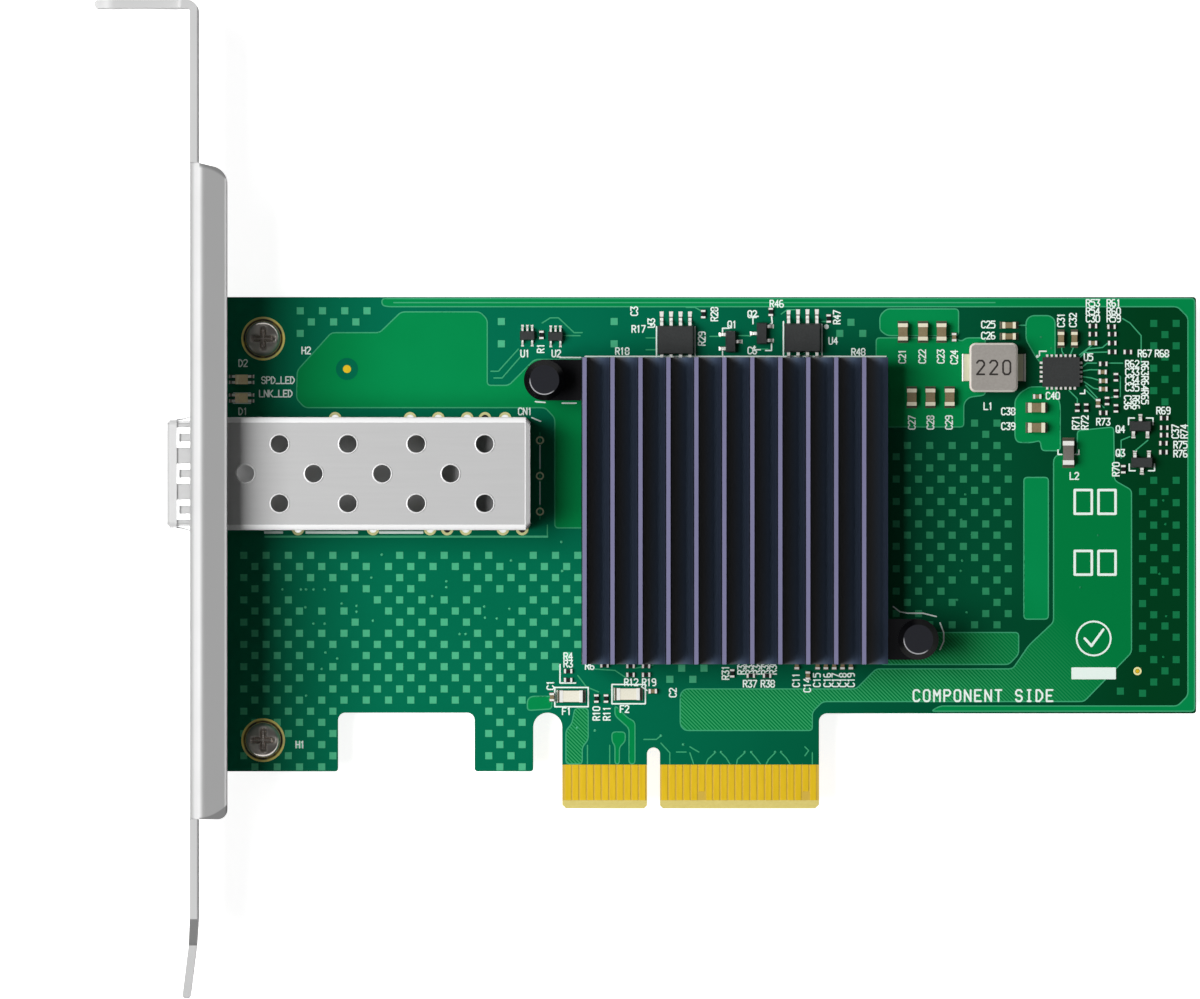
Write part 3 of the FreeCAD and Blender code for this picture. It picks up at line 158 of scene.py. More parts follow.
class Tree:
    """Any shader tree, with one method that adds a node."""

    def __init__(self, owner: Material | bpy.types.World) -> None:
        """Take over the owner's tree and empty it."""
        owner.use_nodes = True
        self.tree = owner.node_tree
        self.tree.nodes.clear()

    def node(self, kind: str, settings: dict[str, Any], inputs: dict[Any, Any], result: Any = 0) -> Wire:
        """Add any node.

        Args:
            kind: Blender's node type.
            settings: attributes, set before the inputs.
            inputs: values or wires by socket name or number.
            result: the output's name or number.

        Returns:
            The chosen output.
        """
        made = self.tree.nodes.new(kind)
        for key, value in settings.items():
            setattr(made, key, value)
        for key, value in inputs.items():
            self.put(made.inputs[key], value)
        return Wire(self, made.outputs[result])

    def put(self, socket: bpy.types.NodeSocket, value: Any) -> None:
        """Link a wire to a socket, or set the socket's own value."""
        if isinstance(value, Wire):
            self.tree.links.new(value.socket, socket)
        else:
            socket.default_value = value

    def parts(self, vector: Wire) -> list[Wire]:
        """A vector's three numbers."""
        split = self.node("ShaderNodeSeparateXYZ", {}, {0: vector}).socket.node
        return [Wire(self, output) for output in split.outputs]


class Graph(Tree):
    """The node tree of one material."""

    def __init__(self, name: str) -> None:
        """Make an empty material with an output and a Principled shader."""
        self.material = bpy.data.materials.new(name)
        super().__init__(self.material)
        self.output = self.tree.nodes.new("ShaderNodeOutputMaterial")
        self.shader = self.tree.nodes.new("ShaderNodeBsdfPrincipled")
        self.tree.links.new(self.shader.outputs[0], self.output.inputs[0])

    def place(self) -> Wire:
        """Object coordinates, in metres."""
        return self.node("ShaderNodeTexCoord", {}, {}, "Object")

    def axes(self) -> list[Wire]:
        """Object coordinates as three numbers, in millimetres."""
        return self.parts(self.node("ShaderNodeVectorMath", {"operation": "SCALE"},
                                    {0: self.place(), "Scale": 1000.0}))

    def facing_up(self) -> Wire:
        """How much the surface faces up or down: 1 on the board's faces, 0 on its edges."""
        return self.parts(self.node("ShaderNodeNewGeometry", {}, {}, "Normal"))[2].size()

    def noise(self, scale: float, detail: float = 2.0, stretch: Sequence[float] = (1, 1, 1)) -> Wire:
        """Soft noise of 0 to 1.

        Args:
            scale: blotches per metre.
            detail: octaves.
            stretch: factor on each axis; a small one draws the noise out along it.
        """
        spread = self.node("ShaderNodeVectorMath", {"operation": "MULTIPLY"},
                           {0: self.place(), 1: tuple(stretch)})
        return self.node("ShaderNodeTexNoise", {}, {"Vector": spread, "Scale": scale, "Detail": detail})

    def mix(self, share: Wire | float, first: Any, second: Any) -> Wire:
        """A colour between two others."""
        return self.node("ShaderNodeMix", {"data_type": "RGBA"}, {0: share, 6: first, 7: second}, 2)

    def leaning(self, amount: Wire) -> Wire:
        """The surface's normal plus this amount of straight up, as on a soft round edge."""
        facing = self.node("ShaderNodeNewGeometry", {}, {}, "Normal")
        lift = self.node("ShaderNodeCombineXYZ", {}, {"Z": amount})
        leaned = self.node("ShaderNodeVectorMath", {"operation": "ADD"}, {0: facing, 1: lift})
        return self.node("ShaderNodeVectorMath", {"operation": "NORMALIZE"}, {0: leaned})

    def bump(self, height: Wire, depth: float, strength: float = 0.5) -> Wire:
        """A normal bent by a height of 0 to 1 that stands for depth millimetres."""
        inputs = {"Strength": strength, "Distance": depth * MM, "Height": height}
        return self.node("ShaderNodeBump", {}, inputs)

    def finish(self, **inputs: Any) -> Material:
        """Set the shader's sockets, with underscores for the spaces in their names."""
        for key, value in inputs.items():
            self.put(self.shader.inputs[key.replace("_", " ")], value)
        return self.material


# ---- finishes
@dataclass(frozen=True)
class Metal:
    """Plated or bare metal with a drawn grain, faint stains and fine scratches."""

    name: str
    colour: Colour
    roughness: float = 0.3
    grain_scale: float = 4000.0
    grain_depth: float = 0.004
    darkening: float = 0.12
    metallic: float = 1.0
    unevenness: float = 0.16
    slope: Colour | None = None
    grain: tuple[float, float, float] = (1, 1, 1)
    steep: Pair = (0.93, 0.08)

    def make(self) -> Material:
        """The material; where a slope's colour is given, what doesn't face up takes it."""
        graph = Graph(self.name)
        grain = graph.noise(self.grain_scale, 3.0, self.grain)
        cloud = graph.noise(120.0, 3.0)
        dark = tuple(value * (1 - self.darkening * 2) for value in self.colour[:3]) + (1.0,)
        colour = graph.mix(cloud.above(0.55, 0.5), self.colour, dark)
        if self.slope is not None:
            colour = graph.mix(graph.facing_up().below(*self.steep), colour, self.slope)
        rough = (grain + cloud * 0.6) * self.unevenness + (self.roughness - 0.8 * self.unevenness)
        return graph.finish(Base_Color=colour, Metallic=self.metallic, Roughness=rough,
                            Normal=graph.bump(grain, self.grain_depth))


@dataclass(frozen=True)
class RingPlate:
    """Gold rings with painted shade next to the screw heads."""

    name: str
    rings: tuple[float, ...]
    inner: float = 2.66
    pale: tuple[Colour, Colour] = (tint(208, 200, 126), tint(248, 230, 118))
    darkening: tuple[Colour, Colour] = (tint(30, 22, 6), tint(120, 98, 20))

    def make(self) -> Material:
        """The material, by the distance from the nearer ring's middle.

        Its rings are the X of both, the middle of their Y and half their distance.
        """
        graph = Graph(self.name)
        x, y, _ = graph.axes()
        centre, middle, half = self.rings
        across, along = x - centre, (y - middle).size() - half
        radius = (across * across + along * along) ** 0.5
        cloud = graph.noise(500.0, 3.0)
        pale = graph.mix(cloud.above(0.5, 0.3), *self.pale)
        darkening = graph.mix(cloud.above(0.55, 0.1), *self.darkening)
        # Painted shade: the ring is dark inside inner, next to the screw head.
        colour = graph.mix(radius.below(self.inner, 0.12), pale, darkening)
        return graph.finish(Base_Color=colour, Metallic=0.3, Roughness=cloud * 0.1 + 0.3)


@dataclass(frozen=True)
class BentSheet:
    """Zinc plated sheet: grey rolled face, paler sheared edges, painted highlights and painted shade."""

    name: str
    outer: float
    flange: Pair
    shoulder: Pair
    tip: float
    thickness: float = 1.1
    reach: float = 5.05
    face: Colour = grey(158)
    sheared_and_rim_highlight: Colour = grey(204)
    rolled: Colour = grey(156)
    bend_highlight: Colour = grey(210)
    dark_line: Colour = grey(140)
    wall: Colour = grey(176)
    end_shade: Colour = grey(126)
    shaded: Colour = grey(146)
    # Painted highlight at the tongue's tip.
    tongue: Colour = grey(228)
    roll: float = 0.85
    crest: float = 0.98
    rim: float = 0.35
    droop: float = 1.8

    def make(self) -> Material:
        """The material, by the depth behind the plate's outer face in X.

        Its flange and shoulder are stretches of Y, tip is the Y of the tongue's end and reach the
        flange's depth. The flange's ends, cut along the curve droop * ((depth - thickness) /
        (reach - thickness)) ** 2, take painted shade.
        """
        graph = Graph(self.name)
        x, y, _ = graph.axes()
        grain = graph.noise(3500.0, 3.0, (1, 0.1, 0.1))
        cloud = graph.noise(140.0, 3.0)
        depth = x - self.outer
        on_flange = y.above(self.flange[0]) * y.below(self.flange[1])
        beside = y.above(self.shoulder[0]) * y.below(self.shoulder[1])
        low, high = self.flange
        # Painted highlight along the crest of the flange's bend.
        crest = (depth - self.crest).size().below(0.55, 0.5)
        rolled = graph.mix(crest, graph.mix(depth.below(self.roll), self.face, self.rolled), self.bend_highlight)
        # Painted highlight: a pale strip on the flange's top along its free edge, in the sheared edges'
        # colour, with the normal leaned up.
        rim = depth.above(self.reach - self.rim, 0.2) * on_flange
        rolled = graph.mix(rim, rolled, self.sheared_and_rim_highlight)
        # Painted shade on the flange's ends.
        droop = ((depth - self.thickness).size() / (self.reach - self.thickness)) ** 2 * self.droop
        cut = (y + droop).above(high - 0.6, 0.35) + (y - droop).below(low + 0.2, 0.15)
        rolled = graph.mix(cut.clamped() * depth.above(self.thickness + 0.2, 0.2), rolled, self.end_shade)
        # A darker line along the inner side of the plate's edge.
        dark_line = depth.above(self.thickness - 0.12, 0.08) * depth.below(self.thickness + 0.1)
        edge = graph.mix(dark_line, self.sheared_and_rim_highlight, self.dark_line)
        edge = graph.mix(beside, edge, self.shaded)
        # Painted highlight at the tongue's tip.
        edge = graph.mix(y.below(self.tip, 1.2), edge, self.tongue)
        colour = graph.mix(on_flange, edge, rolled)
        colour = graph.mix(graph.facing_up().below(0.25, 0.15), colour, self.wall)
        colour = graph.mix(cloud.above(0.6, 0.5) * 0.06, colour, self.dark_line)
        return graph.finish(Base_Color=colour, Metallic=0.08, Roughness=grain * 0.1 + cloud * 0.1 + 0.4,
                            Specular_IOR_Level=0.12, Normal=graph.leaning(rim * 1.5))


@dataclass(frozen=True)
class FoldedSheet:
    """Plated sheet folded into a box: even grey faces and a painted highlight on the folds round the roof."""

    name: str
    roof: tuple[float, ...]
    fold: float = 0.74
    drop: float = 0.9
    lean: float = 1.6
    face: Colour = grey(195)
    grain_and_fold_highlight: Colour = grey(252)

    def make(self) -> Material:
        """The material; roof holds the box's low Y, right X, high Y and top Z."""
        graph = Graph(self.name)
        x, y, z = graph.axes()
        low, right, high, top = self.roof
        grain = graph.noise(2500.0, 3.0, (0.05, 1, 1))
        # Painted highlight on the folds round the roof, with the normal leaned up.
        border = x.above(right - self.fold) + y.above(high - self.fold) + y.below(low + self.fold)
        fold = border.clamped() * z.above(top - self.drop)
        colour = graph.mix(fold, graph.mix(grain * 0.1, self.face, self.grain_and_fold_highlight), self.grain_and_fold_highlight)
        return graph.finish(Base_Color=colour, Metallic=0.12, Roughness=grain * 0.05 + 0.4,
                            Specular_IOR_Level=0.2, Normal=graph.leaning(fold * self.lean))


@dataclass(frozen=True)
class Moulded:
    """Moulded or fired body with a fine pitted skin."""

    name: str
    colour: Colour
    speck: Colour
    roughness: float = 0.5
    pit_scale: float = 5000.0
    pit_depth: float = 0.01
    gloss: float = 0.25
    edge: Colour | None = None

    def make(self) -> Material:
        """The material."""
        graph = Graph(self.name)
        pits = graph.noise(self.pit_scale, 4.0)
        cloud = graph.noise(260.0, 2.0)
        colour = graph.mix((pits * 0.6 + cloud * 0.4).above(0.56, 0.35), self.colour, self.speck)
        # Painted highlight: where an edge colour is given, faces that don't face up take it.
        if self.edge is not None:
            colour = graph.mix(graph.facing_up().below(0.96, 0.06), colour, self.edge)
        return graph.finish(Base_Color=colour, Roughness=cloud * 0.15 + (self.roughness - 0.07),
                            Specular_IOR_Level=self.gloss, Normal=graph.bump(pits, self.pit_depth, 0.6))


@dataclass(frozen=True)
class PinNylon:
    """Black nylon whose head has painted shade on its sloping sides and a painted highlight as a crescent on
    the rim of its flat.
    """

    name: str
    heads: tuple[Pair, ...]
    flat: float = 1.93
    face: Colour = tint(38, 39, 45)
    # Painted shade on the head's sloping sides, also mixed into the pits.
    slope: Colour = tint(5, 5, 7)
    crescent_highlight: Colour = tint(176, 176, 180)

    def make(self) -> Material:
        """The material; the crescent lies where the way from a head's middle points down and left."""
        graph = Graph(self.name)
        x, y, _ = graph.axes()
        pits = graph.noise(5000.0, 4.0)
        colour = graph.mix(pits * 0.3, self.face, self.slope)
        # Painted shade on the head's sloping sides.
        colour = graph.mix(graph.facing_up().below(0.96, 0.06), colour, self.slope)
        for across, along in self.heads:
            right, up = x - across, y - along
            radius = (right * right + up * up) ** 0.5
            lean = (right * -0.45 + up * -0.89) / (radius + 0.01)
            # Painted highlight: a pale crescent on the rim of each head's flat.
            crescent = (radius - self.flat).size().below(0.07, 0.06) * lean.above(0.45, 0.3)
            colour = graph.mix(crescent, colour, self.crescent_highlight)
        return graph.finish(Base_Color=colour, Roughness=pits * 0.1 + 0.34, Specular_IOR_Level=0.12,
                            Normal=graph.bump(pits, 0.006))


@dataclass(frozen=True)
class Anodised:
    """Black anodised extrusion with a painted violet-grey highlight on its fin tips and painted light on the
    deck.
    """

    name: str
    fins: tuple[float, ...]
    pitch: float = 3.76
    colour: Colour = tint(46, 52, 66)
    # Painted highlight on the fin tips.
    tip: Colour = tint(130, 128, 162)
    faded: Colour = tint(38, 40, 48)
    painted_deck_tones: tuple[Colour, ...] = (tint(112, 112, 114), tint(108, 128, 158), tint(70, 84, 110))
    ear: Colour = tint(10, 11, 15)

    def make(self) -> Material:
        """The material; fins holds the body's left and right, the deck's height and the tips'.

        The deck between two fins is painted light and shade, paler than the body: it turns from
        neutral to bluish with the share of the pitch passed since the fin on the left; the ears
        outside the body stay black.
        """
        graph = Graph(self.name)
        left, right, deck, tips = self.fins
        x, _, height = graph.axes()
        lines = graph.noise(2600.0, 3.0, (1, 0.02, 1))
        cloud = graph.noise(90.0, 2.0)
        at_tip = height.above(tips - 0.05)
        passed = ((x - left) / self.pitch).math("FRACT")
        body = graph.mix(lines.above(0.5, 0.6), self.colour, self.faded)
        # Painted light and shade on the deck between the fins.
        near, middle, far = self.painted_deck_tones
        floor = graph.mix(passed.above(0.55, 0.35), near, middle)
        floor = graph.mix(passed.above(0.8, 0.25), floor, far)
        on_deck = height.below(deck + 0.15) * graph.facing_up().above(0.5)
        body = graph.mix(on_deck, body, floor)
        outside = x.below(left + 0.02) + x.above(right - 0.02)
        body = graph.mix(outside.clamped(), body, self.ear)
        # Painted highlight: the fin tips take the violet-grey colour.
        colour = graph.mix(at_tip, body, self.tip)
        rough = lines * 0.2 + cloud * 0.1 + 0.3
        return graph.finish(Base_Color=colour, Metallic=at_tip * 0.25, Roughness=rough,
                            Specular_IOR_Level=0.12, Normal=graph.bump(lines, 0.01))


@dataclass(frozen=True)
class SolderMask:
    """Glossy green mask, with the laminate's own colour on cut edges and the bevel."""

    name: str
    colour: Colour
    lighter: Colour
    hatch: float = 0.0
    bare: tuple[float, ...] | None = None
    far: Colour | None = None
    drift: Pair = (-10.0, 66.0)
    fade: Pair = (54.0, 28.0)
    far_hatch: Colour = tint(1, 126, 64)
    hatch_line: Colour = tint(52, 164, 102)
    core: tuple[Colour, Colour] = (tint(120, 140, 70), tint(176, 172, 104))
    laminate: tuple[Colour, Colour] = (tint(222, 204, 112), tint(238, 222, 138))
    bevel_top: float = 1.1
    above_bevel: Colour = tint(214, 180, 74)
    roughness: float = 0.32

    def make(self) -> Material:
        """The material.

        Its hatch is the pitch of diagonal copper lines, which fade out over the second value
        of fade once X + Y passes the first; over the stretch of X in drift the colour turns
        from its own to far as painted shade.
        """
        graph = Graph(self.name)
        x, y, _ = graph.axes()
        cloud = graph.noise(45.0, 3.0)
        weave = graph.noise(2200.0, 2.0)
        colour = graph.mix(cloud.above(0.52, 0.5), self.colour, self.lighter)
        # Painted shade: the colour turns darker, to far, along X.
        if self.far is not None:
            start, end = self.drift
            colour = graph.mix(((x - start) / (end - start)).clamped(), colour, self.far)
        height = weave * 0.3
        if self.hatch > 0:
            wave = ((x + y) / (self.hatch / math.sqrt(0.5))).math("FRACT")
            faded = ((x + y - self.fade[0]) / self.fade[1]).clamped()
            line = (wave - 0.5).size().below(0.24, 0.16) * (faded * -1 + 1)
            colour = graph.mix(faded, colour, self.far_hatch)
            colour = graph.mix(line, colour, self.hatch_line)
            height = height + line * 0.7
        if self.bare is not None:
            left, right, top = self.bare
            edge = graph.facing_up().below(0.97)
            fibre = graph.noise(1800.0, 3.0, (1, 1, 6))
            core = graph.mix(fibre, *self.core)
            bare = graph.mix(fibre, *self.laminate)
            bare = graph.mix(y.above(self.bevel_top), bare, self.above_bevel)
            tab = x.above(left) * x.below(right) * y.below(top)
            colour = graph.mix(edge, colour, core)
            colour = graph.mix(tab, colour, bare)
        return graph.finish(Base_Color=colour, Roughness=cloud * 0.12 + (self.roughness - 0.06),
                            Specular_IOR_Level=0.03, Normal=graph.bump(height, 0.02))


class Finishes:
    """Every material of the card, made once and found by name."""

    def __init__(self, fins: tuple[float, ...], bare: tuple[float, ...], rings: tuple[float, ...],
                 roof: tuple[float, ...], heads: tuple[Pair, ...]) -> None:
        """Make the materials.

        Args:
            fins: left and right of the heatsink's body, its deck and its fin tips.
            bare: left, right and top of the card edge's bare laminate.
            rings: X of the two screw rings, the middle of their Y and half their distance.
            roof: low Y, right X, high Y and top Z of the module cage.
            heads: middles of the push pins in X and Y.
        """
        made = [
            SolderMask("board_mask", tint(0, 108, 76), tint(1, 114, 82), bare=bare, far=tint(0, 62, 30)),
            SolderMask("copper_mask", tint(1, 135, 70), tint(4, 144, 80)),
            SolderMask("hatched_mask", tint(2, 119, 59), tint(4, 127, 65), hatch=0.36),
            SolderMask("patch_mask", tint(74, 180, 134), tint(84, 190, 142), far=tint(22, 122, 74)),
            # Painted highlight along the pours' edges, and the traces' own paler green.
            SolderMask("trace_and_sheen_mask", tint(60, 166, 117), tint(70, 174, 125)),
            Metal("gold_plate", tint(255, 212, 24), 0.34, 3000.0, 0.002, 0.03, 0.4, grain=(1, 0.1, 1)),
            Metal("pale_plate", tint(252, 246, 176), 0.36, 3000.0, 0.002, 0.05, 0.1),
            Metal("dull_plate", tint(240, 246, 200), 0.4, 3000.0, 0.002, 0.1, 0.1),
            BentSheet("zinc_sheet", outer=-62.33, flange=(-1.36, 86.95), shoulder=(-18.35, -14.75),
                      tip=-24.4),
            FoldedSheet("nickel_sheet", roof),
            Metal("inner_nickel", grey(208), 0.4, 2500.0, 0.001, 0.03, 0.1, grain=(0.05, 1, 1)),
            Metal("spring_sheet", grey(232), 0.3, 2500.0, 0.0001, 0.01, 0.3, 0.02),
            Metal("screw_steel", tint(240, 232, 224), 0.12, 600.0, 0.04, 0.3, 0.7, 0.05),
            Metal("tin", tint(255, 255, 250), 0.3, 6000.0, 0.004, 0.03, 0.15),
            RingPlate("ring_plate", rings),
            Metal("spring_wire", grey(150), 0.3),
            Anodised("black_anodised", fins),
            Moulded("grey_resin", tint(175, 175, 176), tint(184, 184, 185), 0.5),
            PinNylon("pin_nylon", heads),
            Moulded("mould_compound", tint(47, 49, 49), tint(57, 59, 59), 0.55),
            Moulded("grey_pad", tint(120, 120, 118), tint(140, 140, 138), 0.8),
            Moulded("brown_ceramic", tint(132, 116, 84), tint(150, 136, 102), 0.45),
            Moulded("black_glaze", grey(24), grey(36), 0.3),
            Moulded("white_ceramic", tint(238, 234, 214), tint(250, 247, 232), 0.35),
            Moulded("grey_ferrite", tint(112, 106, 100), tint(130, 124, 118), 0.5),
            # The inductor's edges take a painted highlight.
            Moulded("pressed_powder", tint(158, 153, 147), tint(170, 165, 159), 0.42, 3500.0, 0.02, 0.25,
                    tint(226, 220, 210)),
            Moulded("lamp_resin", tint(244, 222, 170), tint(250, 232, 190), 0.25),
            # Painted highlight: the vent rims in a paler nickel than the roof.
            Metal("vent_rim_highlight", grey(240), 0.4, 2500.0, 0.0005, 0.02, 0.15),
            Metal("solder", tint(252, 252, 246), 0.24, 7000.0, 0.002, 0.04, 0.1, slope=tint(96, 92, 76)),
            Metal("cream_tin", tint(250, 244, 216), 0.35, 6000.0, 0.004, 0.04, 0.1),
            Metal("dull_tin", tint(222, 220, 192), 0.35, 6000.0, 0.004, 0.06, 0.2),
            # Dark print on the inductor, and painted shade inside the spare holes.
            Moulded("dark_ink_and_hole_shade", tint(44, 40, 37), tint(54, 50, 47), 0.6),
            Moulded("white_ink", tint(244, 255, 249), tint(238, 255, 246), 0.5, 3000.0, 0.004),
        ]
        self.table = {finish.name: finish.make() for finish in made}

    def __getitem__(self, name: str) -> Material:
        """The material with this name."""
        return self.table[name]


# ---- meshes
class Slot(Enum):
    """Names of the record's material slots, listed beside some added pieces; nothing reads them."""

    GOLD = "gold"
    LAMINATE = "laminate"
    NICKEL = "nickel_sheet"
    POWDER = "pressed_powder"
    TIN = "tin"


def add_piece(name: str, shapes: Iterable[Shape], material: Material,
              smooth: bool = False) -> bpy.types.Object:
    """Make one piece of the object and let it ride on the card.

    Args:
        name: the piece's name.
        shapes: its closed bodies; faces go anticlockwise from outside.
        material: its finish.
        smooth: whether the faces are shaded smooth.
    """
    vertices, faces = join(shapes)
    mesh = bpy.data.meshes.new(name)
    mesh.from_pydata((vertices * MM).tolist(), [], faces)
    mesh.materials.append(material)
    mesh.polygons.foreach_set("use_smooth", [smooth] * len(mesh.polygons))
    mesh.update()
    piece = bpy.data.objects.new(name, mesh)
    bpy.context.scene.collection.objects.link(piece)
    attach(piece, "root")
    LOG.info("%s: %d faces", name, len(faces))
    return piece


def corners_of(node: str) -> np.ndarray:
    """All corners of a CAD node."""
    mesh = bpy.data.objects[node].data
    places = np.empty(len(mesh.vertices) * 3)
    mesh.vertices.foreach_get("co", places)
    return places.reshape(-1, 3) / MM


def solids_of(node: str) -> np.ndarray:
    """Boxes of a CAD node's separate solids, as an array of (solid, low or high, axis).

    Triangles that share a corner belong together: each corner takes the lowest
    number among its triangles' corners until nothing changes.
    """
    places = corners_of(node)
    mesh = bpy.data.objects[node].data
    mesh.calc_loop_triangles()
    triangles = np.empty(len(mesh.loop_triangles) * 3, dtype=int)
    mesh.loop_triangles.foreach_get("vertices", triangles)
    same = np.unique(places.round(4), axis=0, return_inverse=True)[1].reshape(-1)
    corners = same[triangles.reshape(-1, 3)]
    label, fresh = None, np.arange(corners.max() + 1)
    while not np.array_equal(fresh, label):
        label, fresh = fresh, fresh.copy()
        np.minimum.at(fresh, corners, label[corners].min(axis=1)[:, None])
    groups = label[same]
    return np.array([[places[groups == group].min(0), places[groups == group].max(0)]
                     for group in np.unique(groups)])


def loft(rings: np.ndarray) -> Shape:
    """A closed body through rings of points, each anticlockwise and above the one before.

    Side j of step i joins points j and j + 1 of ring i with those of ring i + 1, and starts at
    point j of ring i + 1.
    """
    count, points = rings.shape[:2]
    step, point = np.divmod(np.arange((count - 1) * points), points)
    here, following = step * points + point, step * points + (point + 1) % points
    sides = np.column_stack([here + points, here, following, following + points]).tolist()
    lids = [list(range(points))[::-1], list(range((count - 1) * points, count * points))]
    return rings.reshape(-1, 3), lids + sides


def at_height(outline: np.ndarray, height: float) -> np.ndarray:
    """An outline's points with this height added."""
    return np.column_stack([outline, np.full(len(outline), height)])


def prism(outline: np.ndarray, low: float, high: float) -> Shape:
    """A flat plate between two heights; its outline goes anticlockwise."""
    return loft(np.stack([at_height(outline, low), at_height(outline, high)]))


def join(parts: Iterable[Shape]) -> Shape:
    """Several shapes as one."""
    vertices, faces, start = [], [], 0
    for places, polygons in parts:
        vertices.append(places)
        faces += [[index + start for index in polygon] for polygon in polygons]
        start += len(places)
    return np.vstack(vertices), faces


def strokes(segments: np.ndarray, width: float, low: float, high: float) -> Shape:
    """Flat round-ended bars along straight segments.

    Each bar's outline is half a circle round its second end and half round its
    first: centre + width / 2 * (cos a along + sin a across). Each bar's top is at another
    height than those of the three before it, so that bars that meet don't flicker.

    Args:
        segments: (bar, x1 y1 x2 y2).
        width: of the bars.
        low, high: the heights they stand between.
    """
    segments = np.asarray(segments, dtype=float)
    start, end = segments[:, :2], segments[:, 2:]
    along = end - start
    along /= np.maximum(np.linalg.norm(along, axis=1, keepdims=True), 1e-9)
    across = np.column_stack([-along[:, 1], along[:, 0]])
    turn = np.radians([-90, -45, 0, 45, 90])
    reach = np.cos(turn)[None, :, None] * along[:, None, :] + np.sin(turn)[None, :, None] * across[:, None, :]
    reach *= width / 2
    ring = np.concatenate([end[:, None, :] + reach, start[:, None, :] - reach], axis=1)
    return join(prism(outline, low, high - index % 4 * LIFT) for index, outline in enumerate(ring))


def path(points: Sequence[Pair] | np.ndarray, closed: bool = False) -> np.ndarray:
    """The straight stretches of a line through points, as rows of x1 y1 x2 y2."""
    points = np.asarray(points, dtype=float)
    stretches = np.hstack([points, np.roll(points, -1, axis=0)])
    return stretches if closed else stretches[:-1]


def rounded(points: Sequence[Pair] | np.ndarray, radius: float, steps: int = 5) -> np.ndarray:
    """A closed outline whose corners are arcs.

    Each corner becomes points on a curve that starts and ends radius away from it:
    (1 - t)^2 before + 2 t (1 - t) corner + t^2 after.
    """
    corners = np.asarray(points, dtype=float)
    ends = []
    for way in (1, -1):
        beside = np.roll(corners, way, axis=0) - corners
        length = np.linalg.norm(beside, axis=1)
        ends.append(corners + beside / length[:, None] * np.minimum(radius, length / 2)[:, None])
    first, last = ends[0][:, None], ends[1][:, None]
    share = np.linspace(0, 1, steps)[None, :, None]
    curve = (1 - share) ** 2 * first + 2 * share * (1 - share) * corners[:, None] + share**2 * last
    return curve.reshape(-1, 2)


def oblong(x: float, y: float, half_x: float, half_y: float) -> np.ndarray:
    """A rectangle's corners round its middle."""
    return np.array([(x, y)]) + np.array([(-1, -1), (1, -1), (1, 1), (-1, 1)]) * (half_x, half_y)


def disc(x: float, y: float, radius: float, sides: int = 12) -> np.ndarray:
    """A circle's points."""
    angle = np.arange(sides) * 2 * math.pi / sides
    return np.column_stack([x + radius * np.cos(angle), y + radius * np.sin(angle)])


